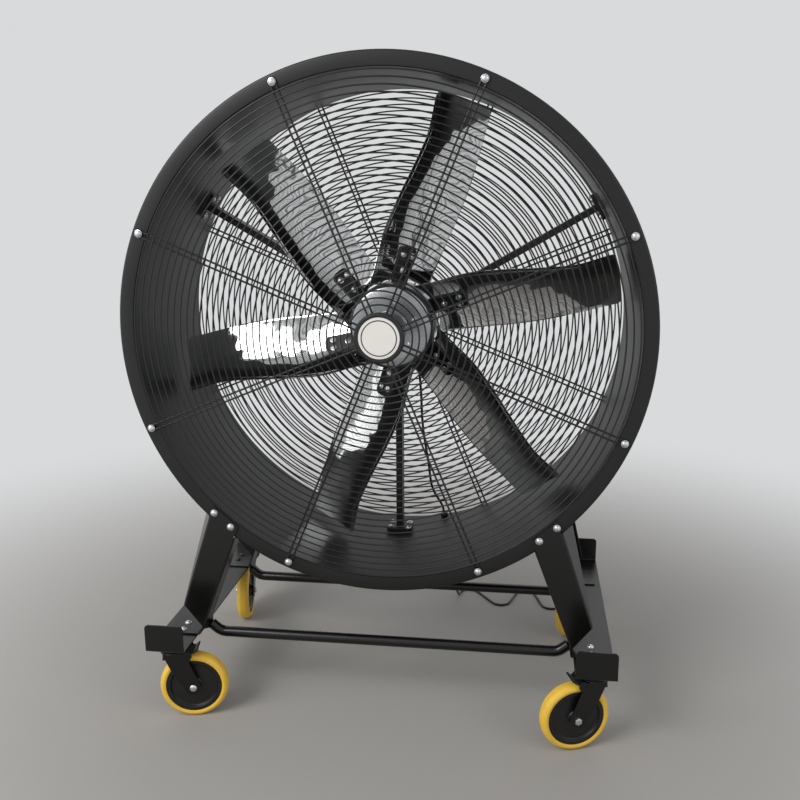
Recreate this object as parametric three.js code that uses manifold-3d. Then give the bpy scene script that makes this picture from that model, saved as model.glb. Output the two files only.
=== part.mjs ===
// Mobile drum fan, 48 inch class: a short steel drum that stands fixed on two floor rails with four
// swivel casters. An outer-rotor motor hangs on three arms inside the drum and turns six blades.
// Millimetres, +Z up, front towards -Y, origin on the floor under the middle of the drum.

import * as THREE from 'three';
import { mergeVertices } from 'three/addons/utils/BufferGeometryUtils.js';
import Module from 'manifold-3d';

const wasm = await Module();
wasm.setup();

// ---------------------------------------------------------------- driving dimensions

const fit = 0.3; // gap between pieces that touch

const axisHeight = 1002; // drum axis above the floor
const boreRadius = 622; // inside of the drum wall
const drumDepth = 440; // between the faces of the two flanges
const drumWall = 3;
const flangeWidth = 38; // from the bore to the outer edge of a flange
const flangeLip = 14; // depth of the turned-back edge of a flange
const flangeEdge = 3; // how far the flange's two edges are rounded
const drumSegments = 48;

const boltInset = 20; // from the outer edge of a flange to the circle of guard and leg bolts
const boltHole = 4.3; // radius
const boltShank = 3.6;
const boltHoleSides = 6;
const boltHeadRadius = 9;
const boltHeadHeight = 5.5;

const guardRings = 7;
const guardFirstRing = 78; // radius of the smallest ring
const guardLastInset = 10; // how far the largest ring stays inside the bore
const guardRingWire = 2.4; // wire radius
const guardSpokeWire = 2.5;
const guardSpokes = 8; // each a pair of wires
const guardSpokeGap = 13; // between the centre lines of a pair
const guardSpokeTurn = 22.5; // degrees from +X to the first pair
const guardSpokeInner = 44; // where the wires start, behind the badge
const rearRings = 4; // the rear guard is plainer, with one wire for each spoke
const weldSink = 0.9; // how far a welded wire sinks into the one it crosses

const badgeRadius = 62;
const badgeFaceRadius = 51;
const badgeDepth = 11;
const badgeFaceRecess = 3;

const rotorRadius = 112;
const rotorFront = -58; // y of the rotor's front face
const rotorDepth = 124;
const rotorEdge = 12; // rounded front edge
const rotorTurn = 12; // degrees the blades stand at
const shaftRadius = 16;
const shaftReach = 90; // how far the shaft goes into the rotor
const runningGap = 2;
const statorRadius = 98;
const statorThickness = 16;
const statorEdge = 6; // chamfer of its front edge

const bladeCount = 6;
const bladeTip = 601; // radius
const bladeRoot = 150;
// The two edges of a blade that points along +X, from root to tip: z, and y. The leading edge is the
// lower one, at the back; the trailing edge stands in front of it.
const bladeLeading = [[-54, 70], [-61, 72], [-70, 73], [-74, 73], [-71, 71], [-67, 67]];
const bladeTrailing = [[92, -18], [98, -19], [89, -20], [74, -21], [64, -22], [71, -23]];
const bladeCamber = 0.1; // of the chord; the front is the hollow side
const bladeThickness = 3;
const bladeStations = 7;
const bladeChordSteps = 4;
const bracketWidth = 46;
const bracketThickness = 6;
const bracketReach = 205; // radius at which a blade's bracket ends

const armAngles = [-90, 30, 150]; // degrees, seen from the front
const armWidth = 18;
const armDepth = 40;
const armInner = 34; // radius at which an arm starts
const armPadWidth = 72;
const armPadDepth = 62;
const armPadThickness = 12;

const railCentre = 538; // x of each rail's middle
const railWidth = 100;
const railThickness = 4;
const railHalfLength = 353;
const railTab = 70; // how far each end is bent up above the rail
const railBend = 6; // outer radius of the bend
const railCorner = 10;

const legThickness = 4;
const legOuterTop = 46.66; // degrees below the horizontal, where the web's outer edge leaves the rim
const legOuterFoot = [536, 64]; // x, and height above the rail, where the slanted foot cut starts
const legInnerTop = 54.2; // the same for its inner edge
const legInnerFoot = [480, 11]; // below this the inner side drops straight past the rail
const legToe = 485; // x at the bottom of the slanted foot cut
const legSideDepth = 62; // inner side of the folded leg
const legSideDrop = 27; // how far the inner side reaches below the rail
const legWingDepth = 62; // outer side, at the top; it tapers to nothing at the foot
const legWingFlare = 27; // how far the outer side leans outwards
const legFlangeOverlap = 34; // how far the web covers the flange
const legBoltAngles = [46.8, 51.8]; // degrees below the horizontal
const footFront = 36; // foot plate, in front of the web
const footOuter = 572;
const footBolts = [[533, -19], [533, 17]]; // x, and y from the web's front

const tubeRadius = 14;
const tubeDrop = 27; // middle of the tube below the rail's underside
const tubeInset = 44; // behind the face of the flange
const tubeBendRadius = 42;
const tubeTail = 50; // past the bend, until the leg's slope cuts it
const tubeBendAngle = 40; // degrees
const tubeStraight = 438; // half length of the straight part

const casterSetback = 53; // swivel axis behind the face of the rail's tab
const casterPlateWidth = 92; // along X
const casterPlateLength = 84; // along Y
const casterPlateThickness = 4;
const raceRadius = 31;
const raceHeight = 8;
const crownRadius = 33;
const forkInside = 46; // between the arms
const forkSheet = 4;
const forkBack = 24; // how far the arms reach behind the swivel axis, at the top
const forkWaist = [-3, 48]; // a point of their rear edge: x, and height above the axle
const forkFoot = 22; // radius of the arms round the axle
const wheelRoom = 10; // between the wheel and the top of the crown's bridge
const crownHeight = 6.4; // of the crown above the bridge
const casterTrail = 50;
const wheelRadius = 87.5;
const tyreThickness = 16.5;
const tyreWidth = 37;
const tyreRound = 11;
const coreRimWidth = 33;
const coreRimDepth = 8;
const coreWebWidth = 20;
const hubRadius = 18;
const hubWidth = 44;
const axleRadius = 6;
const axleHeadRadius = 9.5;
const axleHeadHeight = 6;
const wheelSegments = 18;

const forkTop = 2 * wheelRadius + wheelRoom; // top of the crown's bridge
const crownTop = forkTop + crownHeight;
const raceBottom = crownTop + fit;
const railBottom = raceBottom + raceHeight + casterPlateThickness + fit; // the rail's underside, on the casters
const railTop = railBottom + railThickness;
const tubeHeight = railBottom - tubeDrop;

// Where each caster points at rest: degrees from +X to the side that its wheel trails on.
const casters = [
  { tag: 'front_left', x: -1, y: -1, turn: 12, brake: true },
  { tag: 'front_right', x: 1, y: -1, turn: 199, brake: true },
  { tag: 'rear_left', x: -1, y: 1, turn: -79, brake: false },
  { tag: 'rear_right', x: 1, y: 1, turn: -119, brake: false },
];
const pedalPivot = [42, forkTop - 2]; // from the swivel axis, and height
const pedalLength = 31;
const pedalRise = 15;
const pedalWidth = 42;
const pedalThickness = 5;
const pedalPin = 4; // radius of the pin it turns on
const forkEar = 8; // how far the arms reach past that pin

const cableRadius = 3.5;
const glandAngle = -78.75; // degrees, seen from the front; the middle of one of the drum's flats
const glandInset = 24; // the gland's middle in front of the rear flange's face
const glandNutRadius = 11;
const glandNutHeight = 9;
const glandSleeve = 34; // tapered sleeve outside
const cordSides = 8;
const glandNeck = 6;
const cableStartAngle = -62; // where the cable leaves the stator
const cableRoute = [[60, 97, -185], [64, 120, -310], [76, 158, -430], [86, 186, -520]];
const cordLift = 3.9; // height of the cord's middle where it lies on the floor
// The cord's way from the gland to the coil, in the fan's frame.
const cordRoute = [
  [131, 204, 319], [133, 237, 259], [136, 283, 190], [140, 335, 124], [144, 388, 66], [146, 430, 30],
  [147, 460, 11], [149, 488, 4.3], [158, 509, 3.9], [180, 517, 3.9], [201, 508, 3.9], [222, 481, 3.9],
  [244, 452, 3.9], [265, 424, 3.9], [288, 413, 3.9], [312, 424, 3.9], [325, 452, 3.9], [334, 482, 3.9],
  [346, 514, 3.9], [372, 530, 3.9], [396, 514, 3.9], [408, 482, 3.9], [419, 450, 3.9], [432, 420, 3.9],
  [456, 405, 3.9], [480, 415, 3.9], [494, 443, 3.9],
];
const coilCentre = [560, 500];
const coilInner = 29;
const coilPitch = 7.8;
const coilLayer = 7.6;
const coilTurnsPerLayer = 4;
const coilStartAngle = 180; // degrees from +X, where the cord comes in
const coilTail = 34; // straight run from the last loop to the plug, which lies clear of the coil
const plugRadius = 18;
const plugFlatness = 0.6; // thickness over width
const plugLength = 46;
const plugPinRadius = 2.4;
const plugPinLength = 19;
const plugPinSpacing = 19;

// ---------------------------------------------------------------- materials

function finish(color, roughness, metalness) {
  return new THREE.MeshStandardMaterial({ color, roughness, metalness });
}

const powderCoat = finish(0x1c1c1b, 0.45, 0.3);
const wireCoat = finish(0x141414, 0.4, 0.4);
const brightSteel = finish(0xb9bbbd, 0.14, 1);
const motorCoat = finish(0x222324, 0.5, 0.4);
const zinc = finish(0xc9ccd0, 0.3, 0.95);
const tyreYellow = finish(0xe9b436, 0.5, 0);
const blackNylon = finish(0x161616, 0.5, 0);
const creamPlate = finish(0xe9e2cf, 0.45, 0);
const cordBlack = finish(0x101010, 0.6, 0);

// ---------------------------------------------------------------- making solids

const degrees = THREE.MathUtils.degToRad;

// A closed geometry as a solid that can be joined and cut.
function solid(geometry) {
  const plain = geometry.index ? geometry.toNonIndexed() : geometry.clone();
  plain.deleteAttribute('normal');
  plain.deleteAttribute('uv');
  const merged = mergeVertices(plain, 1e-4);
  return new wasm.Manifold(new wasm.Mesh({
    numProp: 3,
    vertProperties: new Float32Array(merged.attributes.position.array),
    triVerts: new Uint32Array(merged.index.array),
  }));
}

function union(...parts) {
  return parts.reduce((whole, part) => whole.add(part));
}

// A solid back as a geometry, with flat faces.
function geometryOf(body) {
  const mesh = body.getMesh();
  const geometry = new THREE.BufferGeometry();
  geometry.setAttribute('position', new THREE.BufferAttribute(new Float32Array(mesh.vertProperties), 3));
  geometry.setIndex(new THREE.BufferAttribute(new Uint32Array(mesh.triVerts), 1));
  geometry.computeVertexNormals();
  return geometry;
}

// The same geometry seen in a mirror, with its faces still pointing out; or only turned inside out.
function mirrored(geometry, x, y, flip = x * y < 0) {
  const copy = geometry.clone().applyMatrix4(new THREE.Matrix4().makeScale(x, y, 1));
  if (flip) {
    const corner = copy.index.array;
    for (let i = 0; i < corner.length; i += 3) {
      [corner[i], corner[i + 1]] = [corner[i + 1], corner[i]];
    }
  }
  return copy;
}

function box(x0, x1, y0, y1, z0, z1) {
  const geometry = new THREE.BoxGeometry(x1 - x0, y1 - y0, z1 - z0);
  return solid(geometry.translate((x0 + x1) / 2, (y0 + y1) / 2, (z0 + z1) / 2));
}

// A ring or disc turned about the Y axis from points [radius, y], given in either direction.
function turned(points, segments) {
  let area = 0;
  points.forEach(([r, y], i) => {
    const [nextR, nextY] = points[(i + 1) % points.length];
    area += r * nextY - nextR * y;
  });
  const ordered = area > 0 ? points : [...points].reverse();
  return new THREE.LatheGeometry(ordered.map(([r, y]) => new THREE.Vector2(r, y)), segments);
}

function closedProfile(points) {
  return [...points, points[0]];
}

// A flat sheet with the outline [x, z], or a shape, between y0 and y1.
function sheet(outline, y0, y1, curveSegments = 6) {
  const shape = outline instanceof THREE.Shape
    ? outline : new THREE.Shape(outline.map(([x, z]) => new THREE.Vector2(x, z)));
  const geometry = new THREE.ExtrudeGeometry(shape, { depth: y1 - y0, bevelEnabled: false, curveSegments });
  return solid(geometry.rotateX(Math.PI / 2).translate(0, y1, 0));
}

// A closed body through rings of points that all have the same count; both ends are flat.
function lofted(rings) {
  const count = rings[0].length;
  const corners = rings.flat().flatMap((p) => [p.x, p.y, p.z]);
  const index = [];
  for (let i = 0; i < rings.length - 1; i += 1) {
    for (let j = 0; j < count; j += 1) {
      const a = i * count + j;
      const b = i * count + ((j + 1) % count);
      index.push(a, b, b + count, a, b + count, a + count);
    }
  }
  const last = (rings.length - 1) * count;
  for (let j = 1; j < count / 2; j += 1) {
    const quad = [j - 1, j, count - 1 - j, count - j];
    index.push(quad[0], quad[3], quad[2], quad[0], quad[2], quad[1]);
    index.push(last + quad[0], last + quad[1], last + quad[2]);
    index.push(last + quad[0], last + quad[2], last + quad[3]);
  }
  const geometry = new THREE.BufferGeometry();
  geometry.setAttribute('position', new THREE.BufferAttribute(new Float32Array(corners), 3));
  geometry.setIndex(index);
  const body = solid(geometry);
  if (body.volume() > 0) {
    return body;
  }
  return solid(mirrored(geometry, 1, 1, true));
}

// A flat plate with corners [x, y, z] in order, thickened along a direction.
function plate(corners, direction) {
  const near = corners.map((corner) => new THREE.Vector3(...corner));
  const step = new THREE.Vector3(...direction);
  return lofted([near, near.map((corner) => corner.clone().add(step))]);
}

// A domed bolt whose head lies against y = 0 from the front, with its shank along +Y.
function bolt(headRadius, headHeight, shankRadius, shankLength, segments = 8) {
  return turned([
    [0, -headHeight],
    [headRadius * 0.7, -headHeight * 0.7],
    [headRadius, 0],
    [shankRadius, 0],
    [shankRadius, shankLength],
    [0, shankLength],
  ], segments);
}

// A path with one ring at each of its points, so that straight runs need no rings of their own.
class Route extends THREE.Curve {
  constructor(points) {
    super();
    this.points = points;
  }

  getPoint(t) {
    const spans = this.points.length - 1;
    const i = Math.min(Math.floor(t * spans), spans - 1);
    return this.points[i].clone().lerp(this.points[i + 1], t * spans - i);
  }

  getPointAt(u) {
    return this.getPoint(u);
  }

  getTangentAt(u) {
    return this.getTangent(u);
  }
}

function tube(path, radius, sides, steps) {
  const section = new THREE.Shape();
  for (let i = 0; i < sides; i += 1) {
    const angle = ((i + 0.5) * 2 * Math.PI) / sides;
    const move = i === 0 ? 'moveTo' : 'lineTo';
    section[move](radius * Math.cos(angle), radius * Math.sin(angle));
  }
  return new THREE.ExtrudeGeometry(section, { steps, extrudePath: path, bevelEnabled: false });
}

function onCircle(radius, angle) {
  return [radius * Math.cos(degrees(angle)), radius * Math.sin(degrees(angle))];
}

// ---------------------------------------------------------------- the assembly

const fan = new THREE.Group();

const drum = new THREE.Group(); // its own frame: the drum's middle, axis along Y
drum.position.z = axisHeight;
fan.add(drum);

function place(name, shape, material, parent = fan) {
  const geometry = shape.isBufferGeometry ? shape : geometryOf(shape);
  const mesh = new THREE.Mesh(geometry, material);
  mesh.name = name;
  parent.add(mesh);
  return mesh;
}

const half = drumDepth / 2;
const rimRadius = boreRadius + flangeWidth;
const boltCircle = rimRadius - boltInset;
const guardLastRing = boreRadius - guardLastInset;
const glandY = half - glandInset;
const facet = Math.cos(Math.PI / drumSegments); // flats of the drum lie this much nearer the axis

// ---- drum: one rolled wall with a turned flange at each end

function flangeSection() {
  return [
    [boreRadius, -half + flangeEdge],
    [boreRadius + flangeEdge, -half],
    [rimRadius - flangeEdge, -half],
    [rimRadius, -half + flangeEdge],
    [rimRadius, -half + flangeLip],
    [rimRadius - drumWall, -half + flangeLip],
    [rimRadius - drumWall, -half + drumWall + 1],
    [boreRadius + drumWall, -half + drumWall + 1],
  ];
}

const spokeAngles = Array.from({ length: guardSpokes }, (_, k) => guardSpokeTurn + (k * 360) / guardSpokes);
const legBoltPlaces = legBoltAngles.flatMap((angle) => [-angle, angle - 180]);

function drumShell() {
  const front = flangeSection();
  const rear = front.map(([r, y]) => [r, -y]).reverse();
  let shell = solid(turned(closedProfile([...front, ...rear]), drumSegments));
  const hole = boltHole / Math.cos(Math.PI / boltHoleSides); // its flats leave the bolt clear
  for (const angle of [...spokeAngles, ...legBoltPlaces]) {
    const [x, z] = onCircle(boltCircle, angle);
    const drill = new THREE.CylinderGeometry(hole, hole, drumDepth + 10, boltHoleSides);
    shell = shell.subtract(solid(drill.translate(x, 0, z)));
  }
  const holeRadius = glandNeck + fit;
  const [from, to] = [boreRadius - glandSleeve, boreRadius + glandSleeve];
  const glandHole = turned([[0, from], [holeRadius, from], [holeRadius, to], [0, to]], 12);
  return shell.subtract(solid(alongRadius(glandHole, glandAngle).translate(0, glandY, 0)));
}

// Turns a piece that was made along +Y so that it points outwards in the drum's section.
function alongRadius(geometry, angle) {
  return geometry.rotateX(Math.PI / 2).rotateY(degrees(90 - angle));
}

// What the legs keep clear of: the drum's outside.
function drumEnvelope() {
  return solid(turned([
    [0, -half - fit],
    [rimRadius + fit, -half - fit],
    [rimRadius + fit, -half + flangeLip + fit],
    [boreRadius + drumWall + fit, -half + flangeLip + fit],
    [boreRadius + drumWall + fit, half],
    [0, half],
  ], drumSegments));
}

place('drum_shell', drumShell(), powderCoat, drum);

// ---- wire guards: rings welded to pairs of spokes, whose ends the rim bolts clamp

const spokeY = -half - fit - guardSpokeWire;
const ringY = spokeY - guardSpokeWire - guardRingWire / 2 + weldSink; // rings are three-sided, flat side back

function guard(rings, spokeAtEachAngle) {
  const wires = [];
  for (let k = 0; k < rings; k += 1) {
    const radius = guardLastRing - ((guardLastRing - guardFirstRing) * k) / (rings - 1);
    const section = [0, 1, 2].map((i) => [
      radius + guardRingWire * Math.sin((i * 2 * Math.PI) / 3),
      ringY - guardRingWire * Math.cos((i * 2 * Math.PI) / 3),
    ]);
    wires.push(solid(turned(closedProfile(section), radius > guardLastRing / 2 ? 30 : 20)));
  }
  const length = boltCircle + boltHeadRadius - guardSpokeInner;
  for (const angle of spokeAngles) {
    for (const side of spokeAtEachAngle) {
      const wire = new THREE.CylinderGeometry(guardSpokeWire, guardSpokeWire, length, 4, 1);
      wire.rotateZ(-Math.PI / 2).translate(guardSpokeInner + length / 2, spokeY, side * (guardSpokeGap / 2));
      wires.push(solid(wire.rotateY(degrees(-angle))));
    }
  }
  const middle = turned([
    [0, spokeY - 1.5],
    [badgeFaceRadius, spokeY - 1.5],
    [badgeFaceRadius, spokeY + 1.5],
    [0, spokeY + 1.5],
  ], 20);
  wires.push(solid(middle));
  return union(...wires);
}

const frontGuard = geometryOf(guard(guardRings, [-1, 1]));
place('front_guard', frontGuard, wireCoat, drum);
const rearGuard = geometryOf(guard(rearRings, [0]));
place('rear_guard', mirrored(rearGuard, 1, -1), wireCoat, drum);

spokeAngles.forEach((angle, k) => {
  const [x, z] = onCircle(boltCircle, angle);
  const screw = bolt(boltHeadRadius, boltHeadHeight, boltShank, 16);
  screw.translate(x, spokeY - guardSpokeWire - fit, z);
  place(`guard_bolt_${k + 1}`, screw, zinc, drum);
});

// ---- centre badge: a black dish with a plain cream face

function badgeDish() {
  const back = spokeY - guardSpokeWire - fit;
  const front = back - badgeDepth;
  return turned([
    [0, back],
    [badgeRadius, back],
    [badgeRadius - 3, front],
    [badgeFaceRadius + fit, front],
    [badgeFaceRadius + fit, front + badgeFaceRecess],
    [0, front + badgeFaceRecess],
  ], 20);
}

function badgeFace() {
  const front = spokeY - guardSpokeWire - fit - badgeDepth;
  return turned([
    [0, front + badgeFaceRecess - fit],
    [badgeFaceRadius, front + badgeFaceRecess - fit],
    [badgeFaceRadius, front + 1],
    [0, front + 0.6],
  ], 20);
}

place('badge_dish', badgeDish(), blackNylon, drum);
place('badge_face', badgeFace(), creamPlate, drum);

// ---- motor: a fixed stator with its shaft, and the rotor that turns round it

const rotorBack = rotorFront + rotorDepth;
const statorFront = rotorBack + runningGap;
const statorBack = statorFront + statorThickness;

place('motor_stator', turned([
  [0, rotorBack - shaftReach],
  [shaftRadius, rotorBack - shaftReach],
  [shaftRadius, statorFront],
  [statorRadius - statorEdge, statorFront],
  [statorRadius, statorFront + statorEdge],
  [statorRadius, statorBack],
  [0, statorBack],
], 24), motorCoat, drum);

const rotor = new THREE.Group();
rotor.rotation.y = degrees(-rotorTurn);
drum.add(rotor);

place('motor_rotor', turned([
  [0, rotorFront],
  [rotorRadius - 2.4 * rotorEdge, rotorFront],
  [rotorRadius - 0.7 * rotorEdge, rotorFront + 0.35 * rotorEdge],
  [rotorRadius, rotorFront + 1.3 * rotorEdge],
  [rotorRadius, rotorBack],
  [shaftRadius + fit, rotorBack],
  [shaftRadius + fit, rotorBack - shaftReach - fit],
  [0, rotorBack - shaftReach - fit],
], 24), brightSteel, rotor);

// ---- blades: cambered, twisted sheet on a bracket that is bolted to the rotor

// The edge of a blade at a share of its span, as z and y.
function bladeEdge(stations, span) {
  const line = new THREE.SplineCurve(stations.map(([z, y]) => new THREE.Vector2(z, y)));
  return line.getPoint(span);
}

// A point of the blade: share of the span, share of the chord from the leading edge, and distance
// behind its middle surface; along is the radius.
function bladePoint(span, across, lift) {
  const along = THREE.MathUtils.lerp(bladeRoot, bladeTip, span);
  const lead = bladeEdge(bladeLeading, span);
  const chord = bladeEdge(bladeTrailing, span).sub(lead);
  const bow = bladeCamber * chord.length() * (1 - (2 * across - 1) ** 2) + lift;
  const back = new THREE.Vector2(-chord.y, chord.x).normalize().multiplyScalar(bow);
  const [tangential, axial] = lead.addScaledVector(chord, across).add(back).toArray();
  const radius = Math.sqrt(Math.max(along * along - tangential * tangential, 1));
  return new THREE.Vector3(radius, axial, tangential);
}

function blade() {
  const rings = [];
  for (let i = 0; i < bladeStations; i += 1) {
    const span = i / (bladeStations - 1);
    const steps = Array.from({ length: bladeChordSteps + 1 }, (_, j) => j / bladeChordSteps);
    rings.push([
      ...steps.map((across) => bladePoint(span, across, bladeThickness / 2)),
      ...steps.reverse().map((across) => bladePoint(span, across, -bladeThickness / 2)),
    ]);
  }
  // The bracket lies against the front of the root and follows its angle.
  const length = bracketReach - rotorRadius + 20;
  const lead = bladeEdge(bladeLeading, 0);
  const chord = bladeEdge(bladeTrailing, 0).sub(lead);
  const seat = bladeCamber * chord.length() - (bladeThickness + bracketThickness) / 2 + weldSink;
  const bracket = new THREE.BoxGeometry(length, bracketThickness, bracketWidth);
  bracket.translate(0, seat, 0).rotateX(-chord.angle());
  bracket.translate(bracketReach - length / 2, lead.y + chord.y / 2, lead.x + chord.x / 2);
  const clearance = new THREE.CylinderGeometry(rotorRadius + fit, rotorRadius + fit, drumDepth, 24);
  return lofted(rings).add(solid(bracket)).subtract(solid(clearance));
}

const bladeShape = geometryOf(blade());
for (let k = 0; k < bladeCount; k += 1) {
  const mesh = place(`fan_blade_${k + 1}`, bladeShape.clone(), brightSteel, rotor);
  mesh.rotation.y = degrees((-k * 360) / bladeCount);
}

// ---- three arms carry the stator; each ends in a pad that is bolted to the drum's wall

const armFront = statorBack + fit;

function arm(angle) {
  const middle = armFront + armDepth / 2;
  const bar = box(armInner, boreRadius - armPadThickness, armFront, armFront + armDepth,
    -armWidth / 2, armWidth / 2);
  const pad = box(boreRadius - armPadThickness, boreRadius + 20, middle - armPadDepth / 2,
    middle + armPadDepth / 2, -armPadWidth / 2, armPadWidth / 2);
  const shape = geometryOf(bar.add(pad)).rotateY(degrees(-angle));
  const bore = new THREE.CylinderGeometry(boreRadius - fit, boreRadius - fit, drumDepth, drumSegments);
  return solid(shape).intersect(solid(bore));
}

armAngles.forEach((angle, k) => place(`motor_arm_${k + 1}`, arm(angle), powderCoat, drum));

// ---- floor rails: flat plates with both ends bent up

function rail(side) {
  const inner = railBend - railThickness;
  const top = railBottom + railThickness;
  const high = top + railTab;
  const outline = new THREE.Shape();
  outline.moveTo(railHalfLength, high);
  outline.lineTo(railHalfLength, railBottom + railBend);
  outline.absarc(railHalfLength - railBend, railBottom + railBend, railBend, 0, -Math.PI / 2, true);
  outline.lineTo(-railHalfLength + railBend, railBottom);
  outline.absarc(-railHalfLength + railBend, railBottom + railBend, railBend, -Math.PI / 2, -Math.PI, true);
  outline.lineTo(-railHalfLength, high);
  outline.lineTo(-railHalfLength + railThickness, high);
  outline.lineTo(-railHalfLength + railThickness, railBottom + railBend);
  outline.absarc(-railHalfLength + railBend, railBottom + railBend, inner, Math.PI, 1.5 * Math.PI, false);
  outline.lineTo(railHalfLength - railBend, top);
  outline.absarc(railHalfLength - railBend, railBottom + railBend, inner, -Math.PI / 2, 0, false);
  outline.lineTo(railHalfLength - railThickness, high);
  const geometry = new THREE.ExtrudeGeometry(outline, {
    depth: railWidth, bevelEnabled: false, curveSegments: 2,
  });
  // The profile was drawn in y and z; it runs along x.
  geometry.applyMatrix4(new THREE.Matrix4().makeBasis(
    new THREE.Vector3(0, 1, 0), new THREE.Vector3(0, 0, 1), new THREE.Vector3(1, 0, 0)));
  geometry.translate(side * railCentre - railWidth / 2, 0, 0);
  const left = side * railCentre - railWidth / 2;
  const right = left + railWidth;
  const face = new THREE.Shape();
  face.moveTo(left, 0);
  face.lineTo(right, 0);
  face.absarc(right - railCorner, high - railCorner, railCorner, 0, Math.PI / 2, false);
  face.absarc(left + railCorner, high - railCorner, railCorner, Math.PI / 2, Math.PI, false);
  return solid(geometry).intersect(sheet(face, -railHalfLength - 1, railHalfLength + 1, 3));
}

place('rail_left', rail(-1), powderCoat);
place('rail_right', rail(1), powderCoat);

// ---- legs: folded sheet, bolted to the flange above and to the rail below

const webFront = -half - fit - legThickness;

function leg() {
  const [outerX, outerUp] = onCircle(rimRadius, -legOuterTop);
  const [innerX, innerUp] = onCircle(rimRadius, -legInnerTop);
  const [outerZ, innerZ] = [axisHeight + outerUp, axisHeight + innerUp];
  const [kneeX, kneeUp] = legOuterFoot;
  const [shinX, shinUp] = legInnerFoot;
  const [kneeZ, shinZ] = [railTop + kneeUp, railTop + shinUp];
  const footTop = railTop + fit + legThickness;
  const outerLean = (kneeX - outerX) / (outerZ - kneeZ);
  const innerLean = (shinX - innerX) / (innerZ - shinZ);
  const rise = 2 * flangeWidth; // the web is drawn this much further up and then cut along the flange
  const webBack = webFront + legThickness;
  const web = sheet([
    [outerX - rise * outerLean, outerZ + rise],
    [innerX - rise * innerLean, innerZ + rise],
    [shinX, shinZ],
    [shinX, footTop],
    [legToe, footTop],
    [kneeX, kneeZ],
  ], webFront, webBack);
  const opening = sheet(new THREE.Shape().absarc(0, axisHeight, rimRadius - legFlangeOverlap, 0, 2 * Math.PI, false),
    webFront - 1, webBack + 1, 96);
  const innerSide = plate([
    [innerX, webFront, innerZ],
    [shinX, webFront, shinZ],
    [shinX, webFront + legSideDepth, shinZ],
    [innerX, webFront + legSideDepth, innerZ],
  ], [legThickness, 0, 0]);
  const shin = box(shinX, shinX + legThickness, webFront, webFront + legSideDepth,
    railBottom - legSideDrop, shinZ);
  const foldX = outerX - legThickness;
  const wing = plate([
    [foldX, webFront, outerZ],
    [kneeX - legThickness, webFront, kneeZ],
    [kneeX - legThickness + 1, webFront + legThickness, kneeZ],
    [foldX + legWingFlare, webFront + legWingDepth, outerZ],
  ], [legThickness, 0, 0]);
  const foot = box(shinX, footOuter, webFront - footFront, webFront + legSideDepth, railTop + fit, footTop);
  let whole = union(web.subtract(opening), innerSide, shin, wing, foot);
  const away = drumEnvelope().translate(0, 0, axisHeight);
  whole = whole.subtract(away);
  for (const angle of legBoltAngles) {
    const [x, z] = onCircle(boltCircle, -angle);
    const screw = bolt(boltHeadRadius, boltHeadHeight, boltShank, legThickness + drumWall + 6, 8);
    whole = whole.add(solid(screw.translate(x, webFront, z + axisHeight)));
  }
  for (const [x, y] of footBolts) {
    const screw = bolt(boltHeadRadius - 2, boltHeadHeight, 2, 2, 8).rotateX(-Math.PI / 2);
    whole = whole.add(solid(screw.translate(x, webFront + y, footTop)));
  }
  return whole;
}

const legShape = geometryOf(leg());
place('leg_front_right', legShape, powderCoat);
place('leg_front_left', mirrored(legShape, -1, 1), powderCoat);
place('leg_rear_right', mirrored(legShape, 1, -1), powderCoat);
place('leg_rear_left', mirrored(legShape, -1, -1), powderCoat);

// ---- cross tubes between the legs, with both ends bent up

function crossTube() {
  const turn = degrees(tubeBendAngle);
  const end = [];
  for (let i = 0; i <= 4; i += 1) {
    const bend = (turn * i) / 4;
    end.push([tubeStraight + tubeBendRadius * Math.sin(bend), tubeBendRadius * (1 - Math.cos(bend))]);
  }
  const [lastX, lastZ] = end[end.length - 1];
  end.push([lastX + tubeTail * Math.cos(turn), lastZ + tubeTail * Math.sin(turn)]);
  const right = end.map(([x, z]) => new THREE.Vector3(x, 0, tubeHeight + z));
  const left = end.map(([x, z]) => new THREE.Vector3(-x, 0, tubeHeight + z)).reverse();
  const points = [...left, ...right];
  const reach = legInnerFoot[0] - fit;
  return solid(tube(new Route(points), tubeRadius, 10, points.length - 1))
    .intersect(box(-reach, reach, -2 * tubeRadius, 2 * tubeRadius, 0, axisHeight));
}

const crossTubeShape = geometryOf(crossTube());
place('tube_front', crossTubeShape, powderCoat).position.y = -half + tubeInset;
place('tube_rear', crossTubeShape.clone(), powderCoat).position.y = half - tubeInset;

// ---- casters: plate with its ball race, fork, wheel core, tyre and axle

function casterPlate() {
  const top = railBottom - fit;
  const flat = box(-casterPlateWidth / 2, casterPlateWidth / 2, -casterPlateLength / 2, casterPlateLength / 2,
    top - casterPlateThickness, top);
  const race = new THREE.CylinderGeometry(raceRadius, raceRadius - 4, raceHeight + 1, 16);
  race.rotateX(Math.PI / 2).translate(0, 0, raceBottom + (raceHeight + 1) / 2);
  return flat.add(solid(race));
}

// Side view of one arm of the fork, in x and height, from the crown down to the axle.
function forkArm() {
  const [pivotX, pivotZ] = pedalPivot;
  const [waistX, waistUp] = forkWaist;
  const outline = new THREE.Shape();
  outline.moveTo(-forkBack, forkTop);
  outline.lineTo(pivotX - forkEar - 4, forkTop);
  outline.lineTo(pivotX - forkEar / 2, pivotZ + forkEar - 2);
  outline.lineTo(pivotX + forkEar / 2, pivotZ + forkEar - 2);
  outline.lineTo(pivotX + forkEar, pivotZ - forkEar);
  outline.lineTo(pivotX, pivotZ - 3 * forkEar);
  outline.absarc(casterTrail, wheelRadius, forkFoot, 0, -0.9 * Math.PI, true);
  outline.lineTo(waistX, wheelRadius + waistUp);
  return outline;
}

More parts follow.
